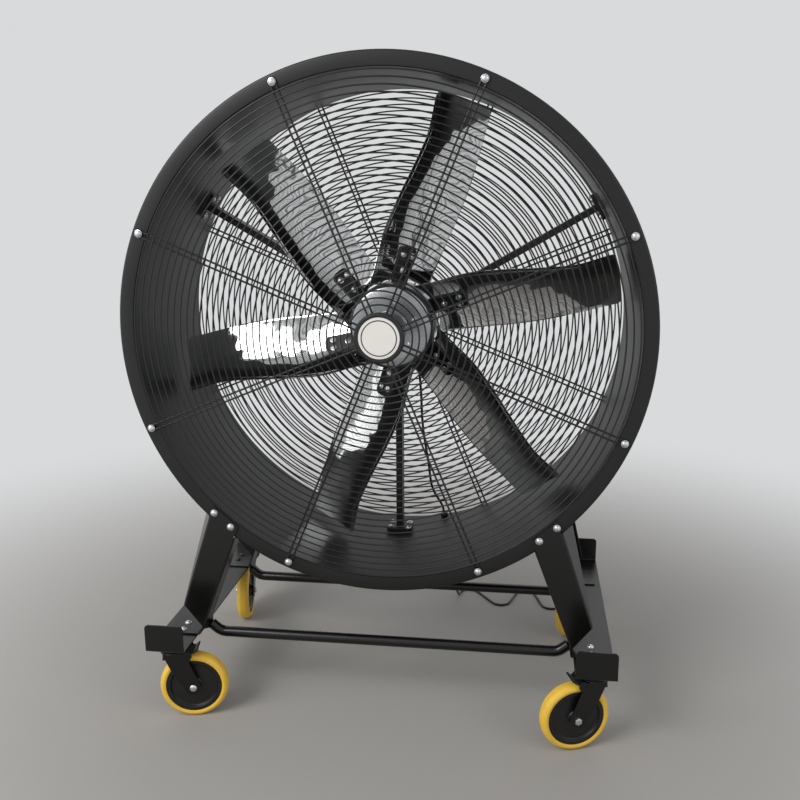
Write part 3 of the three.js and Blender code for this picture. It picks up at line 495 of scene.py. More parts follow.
# Bright zinc plating: cool, slightly cloudy metal with fine drawing marks.
zinc, tree, shader, where = surface("bright_zinc", "#d5d7da", {"Metallic": 1.0, "Roughness": 0.3})
haze = add(tree, "ShaderNodeTexNoise", inputs={"Scale": 220.0, "Detail": 4.0}, links={"Vector": where})
gloss = add(tree, "ShaderNodeMapRange", inputs={"To Min": 0.18, "To Max": 0.42}, links={"Value": haze})
feed(shader, {"Roughness": gloss})


def ring_of(name, shape, count, first_angle, material, **rest):
    """Copies of a shape, made at the drum's +X side, set evenly round the drum's axis."""
    tree, given, ids = tree_with(name, Count=count, First_angle=float(first_angle), Axis=axis_height / 1000,
                                 Coat=material)
    place = add(tree, "ShaderNodeCombineXYZ", links={2: given["Axis"]})
    copies = set_round(tree, given["Geometry"], given["Count"], given["First_angle"], place)
    coat_all(tree, copies, given["Coat"])
    grown(name, shape, tree, ids, material, **rest)


def turned_solid(profile, segments, steps=4):
    """A solid turned round the Y axis from a profile of [radius, y, corner], closed a hair off the axis."""
    near_axis = 0.01
    start, end = [(near_axis, y, 0) for y in (profile[0][1], profile[-1][1])]
    return turned(rounded([start, *profile, end], steps), segments)


def domed(radius, height, washer=0, segments=28):
    """A domed bolt head with a flat washer, its seat at y = 0 and its top towards -Y."""
    edge = 0.08  # share of the height that stands straight under the dome
    washer_thick = 1.4
    dome = [(radius * math.sin(a), -height * math.cos(a) * (1 - edge) - height * edge)
            for a in (math.radians(9 * k) for k in range(1, 11))]
    head = turned([(0, -height), *dome, (radius, 0), (0, 0)], segments, closed=False)
    if not washer:
        return head
    disc = turned_solid([(washer, -washer_thick, 0.5), (washer, 0, 0.3)], segments, 2)
    return joined(moved(head, at(0, 0.2 - washer_thick, 0)), disc)


bolt_circle = 640
bolt_y = spoke_y - spoke_wire
rim_head = domed(8, 5.5, washer=9.4)
ring_of("rim_bolts_front", moved(rim_head, at(bolt_circle, bolt_y, 0)), spoke_pairs, first_bolt, zinc,
        slot="zinc", stands_for=[f"guard_bolt_{k}" for k in range(1, spoke_pairs + 1)])
rear_bolt = moved(rim_head, at(bolt_circle, -bolt_y, 0), spun(180, "Z"))
ring_of("rim_bolts_rear", rear_bolt, spoke_pairs, first_bolt, zinc, slot="zinc")

# ---------------------------------------------------------------- centre badge
# A moulded black nylon dish, which sits on the spokes at the guard's middle. A plain cream disc is let into
# it, with a fine black ring on its face.

badge_back = spoke_y - spoke_wire - gap
badge_front = badge_back - 11
well = 51.3  # radius of the dish's well
well_floor = badge_front + 3
# Moulded nylon: even satin black with a fine spark-eroded grain.
nylon, tree, shader, where = surface("moulded_nylon", "#0b0b0b", {"Roughness": 0.42, "IOR": 1.53})
grain = add(tree, "ShaderNodeTexNoise", inputs={"Scale": 900.0, "Detail": 2.0}, links={"Vector": where})
bump = add(tree, "ShaderNodeBump", inputs={"Strength": 0.25, "Distance": 0.0002}, links={"Height": grain})
feed(shader, {"Normal": bump})
dish = turned_solid([(62, badge_back, 1.5), (62, badge_front + 3, 2), (59, badge_front, 2.5),
                     (well, badge_front, 1), (well, well_floor, 0)], 96)
part("badge_rim", moved(dish, lift), nylon, stands_for=["badge_dish"])

# Cream lacquered aluminium under a clear coat, very slightly domed.
cream, tree, shader, where = surface("cream_lacquer", "#efebe4", {"Roughness": 0.32, "IOR": 1.5})
age = add(tree, "ShaderNodeTexNoise", inputs={"Scale": 40.0, "Detail": 3.0}, links={"Vector": where})
tone = add(tree, "ShaderNodeMix", {"data_type": "RGBA"}, {mix_a: linear("#f1efe9"), mix_b: linear("#e9e5dc")},
           {0: age})
feed(shader, {"Base Color": tone.outputs[mixed]})
disc_back = well_floor - gap
disc_edge = well - 0.5
disc = turned([(0, disc_back), (disc_edge, disc_back), (disc_edge, badge_front + 1.2),
               (disc_edge - 0.6, badge_front + 0.7), (43.6, badge_front + 0.6), (0, badge_front + 0.5)],
              96, closed=False)
part("badge_disc", moved(disc, lift), cream, stands_for=["badge_face"])
ring_back, ring_front = badge_front + 0.9, badge_front + 0.1
inner_ring = rounded([(41.6, ring_back, 0), (41.6, ring_front, 0.3), (44.2, ring_front, 0.3),
                      (44.2, ring_back, 0)], 2)
part("badge_ring", moved(turned(inner_ring, 96), lift), nylon)

# ---------------------------------------------------------------- motor
# An outer-rotor motor: the stator disc and its shaft are held by the arms, and a bright rotor cup turns
# round them.

# Stove enamel on the stator: dark grey, satin and slightly cloudy.
motor_paint, tree, shader, where = surface("motor_enamel", "#262728", {"Roughness": 0.4, "IOR": 1.5})
cloud = add(tree, "ShaderNodeTexNoise", inputs={"Scale": 14.0, "Detail": 4.0}, links={"Vector": where})
tone = add(tree, "ShaderNodeMix", {"data_type": "RGBA"}, {mix_a: linear("#202122"), mix_b: linear("#323334")},
           {0: cloud})
feed(shader, {"Base Color": tone.outputs[mixed]})

rotor_front = -58
rotor_back = 66
rotor_radius = 112
stator_front = 68
stator_back = 84
shaft = 16  # radius
shaft_front = rotor_back - 90
stator = turned_solid([(shaft, shaft_front, 1), (shaft, stator_front, 1), (92, stator_front, 1),
                       (98, stator_front + 6, 2), (98, stator_back, 2)], 96)
part("stator", moved(stator, lift), motor_paint, stands_for=["motor_stator"])
rotor = turned_solid([(40, rotor_front, 2), (44, rotor_front + 4, 2), (84, rotor_front + 4, 6),
                      (104, rotor_front + 8, 8), (rotor_radius, rotor_front + 18, 8),
                      (rotor_radius, rotor_back, 2), (shaft + gap, rotor_back, 1),
                      (shaft + gap, shaft_front - gap, 0)], 96)

# Spun steel under clear zinc: brighter and duller rings of the spinning tool, 1.6 mm apart.
spun_steel, tree, shader, where = surface("spun_steel", "#b4b6b8", {"Metallic": 1.0, "Roughness": 0.3})
centred = add(tree, "ShaderNodeVectorMath", {"operation": "SUBTRACT"}, {1: (0, 0, axis_height / 1000)},
              {0: where})
rings = add(tree, "ShaderNodeTexWave", {"wave_type": "RINGS", "rings_direction": "Y"},
            {"Scale": 200.0, "Distortion": 1.5, "Detail": 2.0}, {"Vector": centred})
gloss = add(tree, "ShaderNodeMapRange", inputs={"To Min": 0.2, "To Max": 0.36},
            links={"Value": rings.outputs["Fac"]})
feed(shader, {"Roughness": gloss})
part("rotor_cup", moved(rotor, lift), spun_steel, "rotor", ["motor_rotor"])
rotor_screw = moved(domed(5.5, 3.4, washer=7), at(66, rotor_front + 4, 0))
ring_of("rotor_screws", rotor_screw, 6, 18, zinc, body="rotor", slot="zinc")

# ---------------------------------------------------------------- blades
# Six cambered and twisted blades of bright stainless sheet, each bolted to a painted bracket that stands out
# from the rotor.

blade_count = 6
blade_root = 150
blade_tip = 601
blade_heel = 117  # the sheet runs in past its root station, to just outside the rotor
# The two edges of a blade that points along +X, from root to tip: z, and y.
blade_leading = [(-54, 70), (-61, 72), (-70, 73), (-74, 73), (-71, 71), (-67, 67)]
blade_trailing = [(92, -18), (98, -19), (89, -20), (74, -21), (64, -22), (71, -23)]
blade_camber = 0.1
blade_belly = 0.65  # share of the chord at which the sheet bows deepest; at the root it is 0.5
blade_settled = 0.35  # share of the span by which the belly has got there
blade_thickness = 3
blade_corner = 12
blade_hem = 14  # the strip along the trailing edge that is bent forwards
hem_slope = 0.2
rotor_turn = 12  # degrees

# Bright-annealed stainless sheet: a near mirror for the dark drum and the room, which the pressing's slow
# ripple bends and a few wiped smears haze.
blade_steel, tree, shader, where = surface("bright_stainless", "#d5d6d6", {"Metallic": 1.0, "Roughness": 0.1})
ripple = add(tree, "ShaderNodeTexNoise", inputs={"Scale": 13.0, "Detail": 1.0}, links={"Vector": where})
smear = add(tree, "ShaderNodeTexNoise", inputs={"Scale": 35.0, "Detail": 4.0}, links={"Vector": where})
gloss = add(tree, "ShaderNodeMapRange", inputs={"To Min": 0.02, "To Max": 0.1}, links={"Value": smear})
bump = add(tree, "ShaderNodeBump", inputs={"Strength": 0.55, "Distance": 0.006}, links={"Height": ripple})
feed(shader, {"Roughness": gloss, "Normal": bump})


def blade_edge(stations, span):
    """The edge of a blade at a share of its span, on a smooth line through its stations."""
    last = len(stations) - 1
    i = min(int(span * last), last - 1)
    t = span * last - i
    a, b, c, d = [Vector(stations[min(max(k, 0), last)]) for k in (i - 1, i, i + 1, i + 2)]
    lead, leave = (c - a) / 2, (d - b) / 2
    return ((b - c) * 2 + lead + leave) * t ** 3 + ((c - b) * 3 - lead * 2 - leave) * t * t + lead * t + b


def blade_point(span, across, lift_off):
    """A blade's point: share of the span, share of the chord from the leading edge, and height behind it."""
    lead = blade_edge(blade_leading, max(span, 0))
    chord = blade_edge(blade_trailing, max(span, 0)) - lead
    size = chord.length
    hem = max(across - 1 + blade_hem / size, 0) * size * hem_slope
    settled = min(max(span, 0) / blade_settled, 1)
    deepest = 0.5 + (blade_belly - 0.5) * settled * settled * (3 - 2 * settled)
    off = (across - deepest) / (deepest if across < deepest else 1 - deepest)
    bow = blade_camber * size * (1 - off * off) + lift_off - hem
    tangential, axial = lead + chord * across + Vector((-chord.y, chord.x)).normalized() * bow
    short = max(blade_corner - min(across, 1 - across) * size, 0)
    tip = blade_tip - blade_corner + math.sqrt(blade_corner ** 2 - short ** 2)
    along = blade_root + (tip - blade_root) * span
    return (math.sqrt(max(along * along - tangential * tangential, 1)), axial, tangential)


def skin(rows, count):
    """The faces between rings of points that follow each other."""
    return [[first + j, first + (j + 1) % count, first + count + (j + 1) % count, first + count + j]
            for first in range(0, (rows - 1) * count, count) for j in range(count)]


def blade_sheet():
    """One blade: cambered, twisted sheet with its rim slightly rounded."""
    heel = (blade_heel - blade_root) / (blade_tip - blade_root)
    spans = [heel, heel * 0.66, heel * 0.33, *[k / 30 for k in range(31)]]
    chords = [0, 0.008, 0.03, 0.07, *[0.12 + 0.078 * k for k in range(10)],
              0.88, 0.905, 0.92, 0.94, 0.965, 0.992, 1]
    back = [(across, blade_thickness / 2 * (0.5 if across in (0, 1) else 1)) for across in chords]
    around = back + [(across, -height) for across, height in reversed(back)]
    rows = [[blade_point(span, across, height) for across, height in around] for span in spans]
    count = len(around)
    faces = skin(len(rows), count)
    for first in (0, (len(rows) - 1) * count):
        last = first + count - 1
        faces += [[first + j, first + j + 1, last - 1 - j, last - j] for j in range(len(back) - 1)]
    return [p for row in rows for p in row], faces


def slab(outline, low, high, plane="xz"):
    """A flat plate: an outline in one plane, between two heights across it."""
    count = len(outline)
    order = {"xy": (0, 1, 2), "xz": (0, 2, 1), "yz": (2, 0, 1)}[plane]
    points = [tuple((u, v, w)[i] for i in order) for w in (low, high) for u, v in outline]
    return points, [*skin(2, count), list(range(count)), list(range(count, 2 * count))]


def plate_outline(left, right, low, high, left_corner, right_corner):
    """A rectangle with its corners rounded, by one radius at its left and another at its right."""
    return rounded([(left, low, left_corner), (right, low, right_corner), (right, high, right_corner),
                    (left, high, left_corner)])


def blade_bracket():
    """The flat bracket in front of a blade's root, and the three bolts through both."""
    foot, reach, width, thick = 96, 205, 46, 6
    holes = [(140, 0), (182, 12), (182, -12)]
    lead = blade_edge(blade_leading, 0)
    chord = blade_edge(blade_trailing, 0) - lead
    seat = blade_camber * chord.length - (blade_thickness + thick) / 2
    flat = slab(plate_outline(foot, reach, -width / 2, width / 2, 2, 14), seat - thick / 2, seat + thick / 2)
    head = domed(6.5, 4.5, washer=8.5, segments=20)
    heads = [moved(head, at(x, seat - thick / 2, z)) for x, z in holes]
    middle = lead + chord / 2
    tilt = (at(0, middle.y, middle.x), Matrix.Rotation(-math.atan2(chord.y, chord.x), 4, "X"))
    return moved(flat, *tilt), moved(joined(*heads), *tilt)


bracket, bracket_bolts = blade_bracket()
ring_of("fan_blades", blade_sheet(), blade_count, rotor_turn, blade_steel, body="rotor",
        slot="bright_steel", stands_for=[f"fan_blade_{k}" for k in range(1, blade_count + 1)])
ring_of("blade_brackets", bracket, blade_count, rotor_turn, stand_coat, body="rotor")
ring_of("blade_bolts", bracket_bolts, blade_count, rotor_turn, zinc, body="rotor", slot="zinc")

# ---------------------------------------------------------------- motor arms
# Three flat bars, one straight down and two up at 30 degrees, are welded to the stator's back. Each ends in
# a clamp foot that is bolted to the drum's wall.

arm_front = stator_back + gap
arm_deep = 40
arm_middle = arm_front + arm_deep / 2
foot_inside = 606
arm_bar = slab([(34, -9), (612, -9), (612, 9), (34, 9)], arm_front, arm_front + arm_deep)
arm_foot = plate_outline(arm_middle - 31, arm_middle + 31, -36, 36, 6, 6)
arm_foot = slab(arm_foot, foot_inside, foot_inside + 10, "yz")
arm_head = domed(6.5, 5, washer=9, segments=20)
arm_heads = joined(*[moved(arm_head, at(foot_inside, arm_middle + y, z), spun(-90, "Z"))
                     for y in (-20, 20) for z in (-25, 25)])
for number, angle in enumerate((-90, 30, 150), 1):
    turned_to = (lift, spun(-angle, "Y"))
    softened(part(f"arm_{number}", moved(joined(arm_bar, arm_foot), *turned_to), powder_coat,
                  stands_for=[f"motor_arm_{number}"]), 1.5)
    part(f"arm_bolts_{number}", moved(arm_heads, *turned_to), zinc)

# ---------------------------------------------------------------- floor rails
# Flat bars of 4 mm steel, 100 mm wide, with both ends bent up; the casters hang under their ends.

rail_x = 538
rail_wide = 100
rail_thick = 4
rail_bottom = 204
rail_half = 353
rail_high = 70
rail_corner = 10
rail_top = rail_bottom + rail_thick


def rail_way():
    """The middle line of a rail, from end to end: y, and z."""
    bend = 4.0  # radius at the sheet's middle
    end = rail_half - rail_thick / 2
    base = rail_bottom + rail_thick / 2
    top = rail_top + rail_high
    half = [(end, top - rail_corner * (1 - math.cos(math.radians(a)))) for a in range(0, 91, 15)]
    half += arc(end - bend, base + bend, bend, range(0, -91, -15))
    return [(-y, z) for y, z in half] + half[::-1]


def folded_strip(way, half_width, corner):
    """A strip of sheet along a way of [y, z] points, with the four corners of the strip rounded."""
    steps = [0.0]
    for a, b in zip(way, way[1:]):
        steps.append(steps[-1] + (Vector(b) - Vector(a)).length)
    points = []
    for (y, z), step in zip(way, steps):
        left = corner - min(step, steps[-1] - step)
        width = half_width - (corner - math.sqrt(max(corner ** 2 - left ** 2, 0)) if left > 0 else 0)
        points += [(-width, y, z), (width, y, z)]
    return points, [[2 * i, 2 * i + 1, 2 * i + 3, 2 * i + 2] for i in range(len(way) - 1)]


def thickened(made, thickness):
    """Gives a sheet its thickness in millimetres, half to each side."""
    sheet = made.modifiers.new("sheet", "SOLIDIFY")
    sheet.thickness = thickness / 1000
    sheet.offset = 0
    return made


rail_sheet = folded_strip(rail_way(), rail_wide / 2, rail_corner)
for side, name in ((-1, "rail_left"), (1, "rail_right")):
    rail = part(f"floor_{name}", moved(rail_sheet, at(side * rail_x, 0, 0)), stand_coat, stands_for=[name])
    softened(thickened(rail, rail_thick), 0.8, 2, 60)

# ---------------------------------------------------------------- legs
# Folded 4 mm sheet: a web in front of the flange, an inner side that runs down past the rail to the cross
# tube, and an outer wing that leans out. Two bolts hold each leg to the flange and two to the rail.

leg_thick = 4
leg_half = leg_thick / 2
web_front = -half_depth - gap - leg_thick
side_back = web_front + 62  # how far back the inner side and the wing's top reach
web_reach = 626  # radius of the web's top edge
web_bottom = rail_top + 2.3
tube_y = 176
lug_radius = 15
lug_height = 199


def on_web_top(start, direction):
    """Where a line from a point on the rim meets the circle that the web's top follows."""
    low, high = 0.0, 90.0
    for _ in range(40):
        middle = (low + high) / 2
        point = start + direction * middle
        if math.hypot(point.x, point.z - axis_height) > web_reach:
            low = middle
        else:
            high = middle
    return start + direction * low


def leg_sheet():
    """The middle surface of a right front leg: points, faces and the folded edges."""
    web = web_front + leg_half
    outer = on_circle(rim, -46.66)
    inner = on_circle(rim, -54.2)
    knee = Vector((536, 0, rail_top + 64))
    shin = Vector((480, 0, rail_top + 11))
    top_outer = on_web_top(outer, (outer - knee).normalized())
    top_inner = on_web_top(inner, (inner - shin).normalized())
    low, high = [math.degrees(math.atan2(top.z - axis_height, top.x)) for top in (top_inner, top_outer)]
    side_x = shin.x + leg_half
    outline = [(top_inner.x + leg_half, top_inner.z), (inner.x + leg_half, inner.z), (side_x, shin.z),
               (side_x, web_bottom), (485, web_bottom), (knee.x - leg_half, knee.z),
               (outer.x - leg_half, outer.z), (top_outer.x - leg_half, top_outer.z),
               *arc(0, axis_height, web_reach, [low + (high - low) * k / 8 for k in range(7, 0, -1)])]
    points = [(x, web, z) for x, z in outline]
    # below the rail the side ends in a rounded lug, to which the cross tube is welded
    lug = arc(-tube_y, lug_height, lug_radius, (-25, -55, -90, -125, -155))
    side = len(points)
    points += [(inner.x + leg_half, side_back, inner.z),
               *[(side_x, y, z) for y, z in ((side_back, shin.z), (side_back, web_bottom), *lug,
                                             (web, rail_bottom + 2))]]
    wing = len(points)
    points += [(outer.x - leg_half + 27, side_back, outer.z), (knee.x - leg_half + 1, web_front + 5, knee.z)]
    faces = [list(range(side)), [1, 2, side + 1, side], [2, 3, side + 2, side + 1],
             [3, *range(wing - 1, side + 1, -1)], [6, 5, wing + 1, wing]]
    return points, faces, [(1, 2), (2, 3), (5, 6)]


foot_top = rail_top + gap + leg_thick
foot_plate = slab(plate_outline(480.5, 572, web_front - 36, side_back, 3, 6), rail_top + gap, foot_top, "xy")
flange_bolts = [on_circle(bolt_circle, angle) for angle in (-46.8, -51.8)]
flange_heads = joined(*[moved(rim_head, at(p.x, web_front, p.z)) for p in flange_bolts])
foot_heads = joined(*[moved(domed(7, 5, washer=9), at(533, web_front + y, foot_top), spun(-90, "X"))
                      for y in (-19, 17)])


def leg(tag, flip):
    """A leg and its foot on the rail: the right front one, mirrored by a matrix."""
    points, faces, folds = leg_sheet()
    name = f"stand_leg_{tag}"
    data = mesh_of(name, moved((points, faces), flip), stand_coat)
    weights = data.attributes.new("bevel_weight_edge", "FLOAT", "EDGE")
    for edge in data.edges:
        weights.data[edge.index].value = float(tuple(sorted(edge.vertices)) in folds)
    made = piece(name, data, stands_for=[f"leg_{tag}"])
    fold = made.modifiers.new("folds", "BEVEL")
    fold.limit_method = "WEIGHT"
    fold.width = 0.006
    fold.segments = 4
    softened(thickened(made, leg_thick), 0.8, 2, 60)
    softened(part(f"leg_foot_{tag}", moved(foot_plate, flip), stand_coat), 0.8)


for tag, x_sign in (("front_right", 1), ("front_left", -1)):
    flip = Matrix.Diagonal((x_sign, 1, 1, 1))
    leg(tag, flip)
    part(f"leg_bolts_{tag}", moved(joined(flange_heads, foot_heads), flip), zinc)
for tag, x_sign in (("rear_right", 1), ("rear_left", -1)):
    flip = Matrix.Diagonal((x_sign, -1, 1, 1))
    leg(tag, flip)
    part(f"leg_bolts_{tag}", moved(flange_heads, flip), zinc)
    part(f"painted_shade_foot_bolts_{tag}", moved(foot_heads, flip), stand_coat)  # painted shade: the rear feet's bolt heads take the black stand coat in place of zinc, standing in for the shadow they sit in

# ---------------------------------------------------------------- cross tubes
# Round steel tubes, 28 mm, run from leg to leg at the front and the back; their ends are bent up and welded
# to the inner sides of the legs.


def sweep(points, radius, sides=24):
    """A round bar along points in a plane of constant y, with flat ends."""
    turns = [2 * math.pi * k / sides for k in range(sides)]
    across = Vector((0, 1, 0))
    rings = []
    for i, point in enumerate(points):
        way = (points[min(i + 1, len(points) - 1)] - points[max(i - 1, 0)]).normalized()
        up = way.cross(across).normalized()
        rings += [tuple(point + across * radius * math.cos(a) + up * radius * math.sin(a)) for a in turns]
    ends = [list(range(sides)), list(range(len(rings) - sides, len(rings)))]
    return rings, skin(len(points), sides) + ends


tube_radius = 14
tube_z = rail_bottom - 27
tube_end = 479.7
bend_start = 438
bend_radius = 42
bend_angle = 40
bend = arc(bend_start, tube_z + bend_radius, bend_radius, range(-90, bend_angle - 89, 5))
rise = math.tan(math.radians(bend_angle)) * (tube_end - bend[-1][0])
right_half = [Vector((x, 0, z)) for x, z in [*bend, (tube_end, bend[-1][1] + rise)]]
tube_way = [Vector((-p.x, 0, p.z)) for p in reversed(right_half)] + right_half
for name, y in (("tube_front", -tube_y), ("tube_rear", tube_y)):
    part(f"cross_{name}", moved(sweep(tube_way, tube_radius), at(0, y, 0)), stand_coat, stands_for=[name])

# ---------------------------------------------------------------- casters
# Plate and ball race in zinc, a pressed steel fork in black, and a 175 mm wheel: a yellow polyurethane tyre
# moulded round a black nylon core. The front pair has a brake pedal.

trail = 50
wheel_radius = 87.5
fork_inside = 23
fork_outside = 27
fork_top = 185
plate_top = rail_bottom - gap
plate_bottom = plate_top - 4
race_bottom = 191.7
crown_top = race_bottom - gap
eye_radius = 22  # of the fork's ends round the axle
pin_height = fork_top - 2  # of the pedal's pin
# Cast polyurethane: warm opaque yellow with a soft skin, scuffed and dusty where it rolls.
tyre_yellow, tree, shader, where = surface("cast_polyurethane", "#f3c548", {
    "Roughness": 0.42, "IOR": 1.5, "Subsurface Weight": 0.08, "Subsurface Scale": 0.004})
scuff = add(tree, "ShaderNodeTexNoise", inputs={"Scale": 60.0, "Detail": 5.0}, links={"Vector": where})
tone = add(tree, "ShaderNodeMix", {"data_type": "RGBA"}, {mix_a: linear("#f7cd4e"), mix_b: linear("#eaba3a")},
           {0: scuff})
gloss = add(tree, "ShaderNodeMapRange", inputs={"To Min": 0.32, "To Max": 0.58}, links={"Value": scuff})
feed(shader, {"Base Color": tone.outputs[mixed], "Roughness": gloss})

core_half = [(6.3, 22, 1), (17, 22, 3), (19, 12, 4), (58, 10, 3), (61, 15.8, 1.5), (71, 16.5, 1)]
tyre_half = [(71.6, -17.2, 1), (78, -18.5, 4), (84.5, -14.5, 5), (wheel_radius, -7, 6)]
core, tyre = [turned(rounded(half + [(r, -y, corner) for r, y, corner in reversed(half)]), 96)
              for half in (core_half, tyre_half)]


def fork_shape():
    """The pressed fork in the caster's own frame: two arms and the bridge between them."""
    arm = [(-24, fork_top), (30, fork_top), (38, pin_height + 6), (46, pin_height + 6),
           (50, pin_height - 8), (42, pin_height - 24),
           *arc(trail, wheel_radius, eye_radius, range(0, -163, -9)), (-3, 135.5)]
    arms = joined(slab(arm, fork_inside, fork_outside), slab(arm, -fork_outside, -fork_inside))
    over, under = [[(edge, fork_top - 16), *arc(edge - radius, fork_top - 16, radius, range(0, 91, 15))]
                   for edge, radius in ((fork_outside, 16), (fork_inside, 12))]
    saddle = [(-y, z) for y, z in over] + over[::-1] + under + [(-y, z) for y, z in reversed(under)]
    return joined(arms, slab(saddle, -24, 34, "yz"))


plate = slab(plate_outline(-46, 46, -42, 42, 8, 8), plate_bottom, plate_top, "xy")
upright = spun(-90, "X")  # turned profiles of [radius, -z]
race = moved(turned_solid([(27, -race_bottom, 2), (31, -195, 2), (31, -plate_bottom, 0)], 64), upright)
crown = moved(turned_solid([(29, -crown_top, 3), (33, -187, 2), (33, 1 - fork_top, 0)], 64), upright)
axle_seat = fork_outside + gap
axle_head = moved(domed(9.5, 6), at(0, -axle_seat, 0))
axle_nut = turned_solid([(9.5, 0, 0.5), (9.5, -5, 1), (6, -6, 0.5)], 6)
axle_nut = moved(axle_nut, spun(180, "Z"), at(0, -axle_seat, 0))
axle_shank = turned([(0, -axle_seat), (6, -axle_seat), (6, axle_seat), (0, axle_seat)], 24, closed=False)
rod_half = fork_inside - gap
pedal_rod = moved(turned_solid([(4, -rod_half, 0.5), (4, rod_half, 0.5)], 24), at(42, 0, pin_height))
lever_outline = [(38, 179), (47, 179), (56, 182), (66, 190), (66, 194), (63, 194), (54, 187), (38, 188)]
pedal_lever = slab(lever_outline, -21, 21)

# Each swivel's x and y, and its turn in degrees.
caster_places = {"front_left": (-rail_x, -300, 12), "front_right": (rail_x, -300, 199),
                 "rear_left": (-rail_x, 300, -79), "rear_right": (rail_x, 300, -119)}
for tag, (x, y, turn) in caster_places.items():
    stand = at(x, y, 0)
    swivel = (stand, spun(turn, "Z"))
    axle = (*swivel, at(trail, 0, wheel_radius))
    softened(part(f"top_plate_{tag}", moved(joined(plate, race), stand), zinc,
                  stands_for=[f"caster_plate_{tag}"]), 0.8)
    softened(part(f"fork_{tag}", moved(joined(fork_shape(), crown), *swivel), stand_coat, f"swivel_{tag}",
                  stands_for=[f"caster_fork_{tag}"]), 1.2, 3)
    part(f"core_{tag}", moved(core, *axle), nylon, f"wheel_{tag}", [f"wheel_core_{tag}"])
    part(f"tyre_{tag}", moved(tyre, *axle), tyre_yellow, f"wheel_{tag}", [f"wheel_tyre_{tag}"])
    part(f"axle_{tag}", moved(joined(axle_head, axle_nut, axle_shank), *axle), zinc, f"swivel_{tag}",
         [f"axle_bolt_{tag}"])
    if tag.startswith("front"):
        softened(part(f"pedal_{tag}", moved(joined(pedal_rod, pedal_lever), *swivel), nylon, f"pedal_{tag}",
                      [f"brake_pedal_{tag}"]), 1.0)

# ---------------------------------------------------------------- gland and plug
# A black nylon cable gland with a tapered bend sleeve goes through the drum's wall; the plug is flat and
# moulded, with two round pins.

gland_seat = 623.66  # the frame's flat outer face of the drum at the gland
nut_face = gland_seat - wall - gap
collar = gland_seat + gap
gland = turned_solid([(9, nut_face - 9, 1), (11, nut_face - 7, 1), (11, nut_face, 0.4), (6, nut_face, 0),
                      (6, collar, 0), (11, collar, 0.4), (11, 629, 1.5), (7, 631, 1),
                      (4.7, gland_end, 0.5)], 40)
gland_place = (at(0, gland_y, 0), lift, spun(90 - gland_angle, "Y"), spun(90, "X"))
part("gland", moved(gland, *gland_place), nylon, stands_for=["cord_gland"])

plug_long = 46
plug_flat = 0.6  # thickness as a share of width
plug_body = turned_solid([(4.7, 0, 0.5), (5.9, 14, 2), (12.6, 20, 5), (18, 28, 6), (18, plug_long, 3)], 64)
plug_turn = Vector((0, 1, 0)).rotation_difference(coil_way).to_matrix().to_4x4()
plug_place = (at(*(plug_seat + coil_way * gap)), plug_turn)
plug = part("plug", moved(plug_body, *plug_place, Matrix.Diagonal((1, 1, plug_flat, 1))), nylon,
            stands_for=["cord_plug"])
pin = turned([(0, plug_long - 1), (2.4, plug_long - 1), (2.4, 64), (1.6, 65), (0, 65)], 20, closed=False)
pins = joined(*[moved(pin, at(x, 0, 0)) for x in (-9.5, 9.5)])
plug_pins = part("plug_pins", moved(pins, *plug_place), zinc)

# ---------------------------------------------------------------- floor and light
# A plain pale floor and soft studio light: a large key box above and in front, three weak boxes at the right,
# low at the left and behind, and a pale surround that gloss paint and metal mirror.

floor_half = 40  # metres
corners = [(-floor_half, -floor_half, 0), (floor_half, -floor_half, 0), (floor_half, floor_half, 0),
           (-floor_half, floor_half, 0)]
floor_data = bpy.data.meshes.new("floor")
floor_data.from_pydata(corners, [], [[0, 1, 2, 3]])
linked("floor", floor_data)


def looked_at(tree):
    """1 for a ray from the camera or from a glossy or clear surface, and 0 for the others."""
    rays = add(tree, "ShaderNodeLightPath").outputs
    seen = add(tree, "ShaderNodeMath", {"operation": "MAXIMUM"},
               links={0: rays["Is Camera Ray"], 1: rays["Is Glossy Ray"]})
    return add(tree, "ShaderNodeMath", {"operation": "MAXIMUM"},
               links={0: seen, 1: rays["Is Transmission Ray"]})


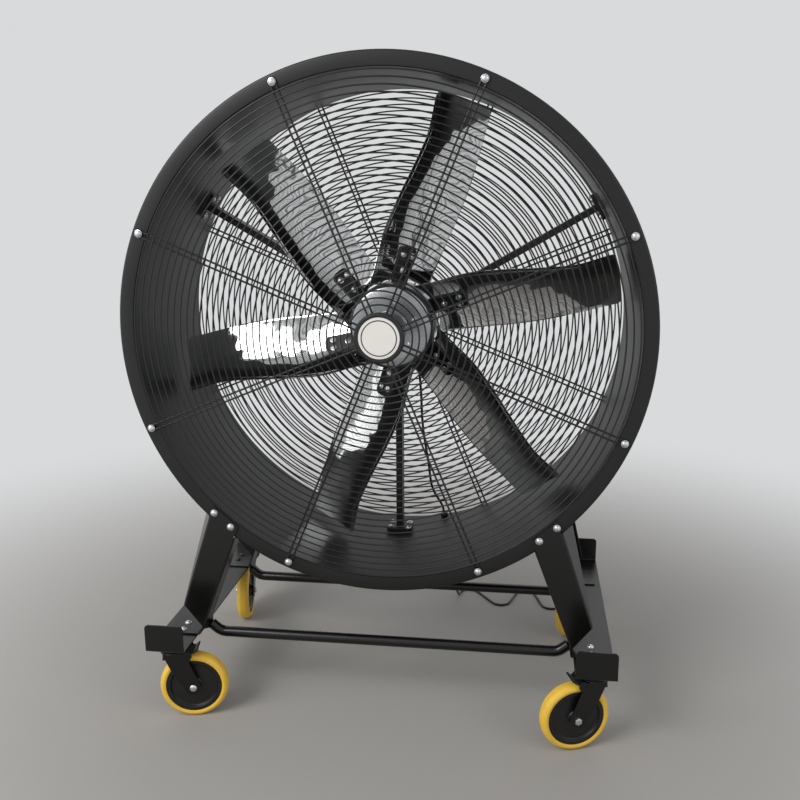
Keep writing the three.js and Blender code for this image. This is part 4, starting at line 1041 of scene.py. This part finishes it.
# Matt grey screed, which fades into the pale surround 0.7 to 2.8 m out, so that no horizon shows.
background = linear("#d9dadb")
screed, tree, shader, where = surface("pale_floor", "#a8a5a0", {"Roughness": 0.6, "Specular IOR Level": 0.0})
floor_data.materials.append(screed)
out = add(tree, "ShaderNodeVectorMath", {"operation": "LENGTH"}, links={0: where})
fade = add(tree, "ShaderNodeMapRange", {"interpolation_type": "SMOOTHSTEP"},
           {"From Min": 0.7, "From Max": 2.8}, {"Value": out.outputs["Value"]})
share = add(tree, "ShaderNodeMath", {"operation": "MULTIPLY"}, links={0: fade, 1: looked_at(tree)})
far = add(tree, "ShaderNodeEmission", inputs={"Color": background, "Strength": 1.0})
both = add(tree, "ShaderNodeMixShader", links={0: share, 1: shader, 2: far})
feed(tree.nodes["Material Output"], {"Surface": both})

world = bpy.data.worlds.new("surround")
bpy.context.scene.world = world
world.use_nodes = True
tree = world.node_tree
tree.nodes.clear()
plain = add(tree, "ShaderNodeBackground", inputs={"Color": linear("#d9dade"), "Strength": 0.75})
seen = add(tree, "ShaderNodeBackground", inputs={"Color": background, "Strength": 1.0})
which = add(tree, "ShaderNodeMixShader", links={0: looked_at(tree), 1: plain, 2: seen})
add(tree, "ShaderNodeOutputWorld", links={0: which})


def softbox(name, place, aim_height, size, power):
    """A rectangular area lamp that faces the fan's middle line at a height; metres and watts."""
    data = bpy.data.lights.new(name, "AREA")
    data.shape = "RECTANGLE"
    data.size, data.size_y = size
    data.energy = power
    made = linked(name, data)
    made.location = place
    made.rotation_euler = (Vector((0, 0, aim_height)) - Vector(place)).to_track_quat("-Z", "Y").to_euler()


softbox("key_box", (-2.6, -3.0, 3.4), 0.9, (2.4, 1.8), 120)
softbox("fill_box", (3.4, -2.2, 2.2), 0.9, (1.6, 2.4), 18)
softbox("window_box", (-3.3, -2.0, 1.3), 1.0, (1.6, 2.2), 14)
softbox("rear_box", (0.8, 3.2, 3.2), 1.0, (2.6, 1.2), 12)

bpy.context.scene.view_settings.view_transform = "Standard"
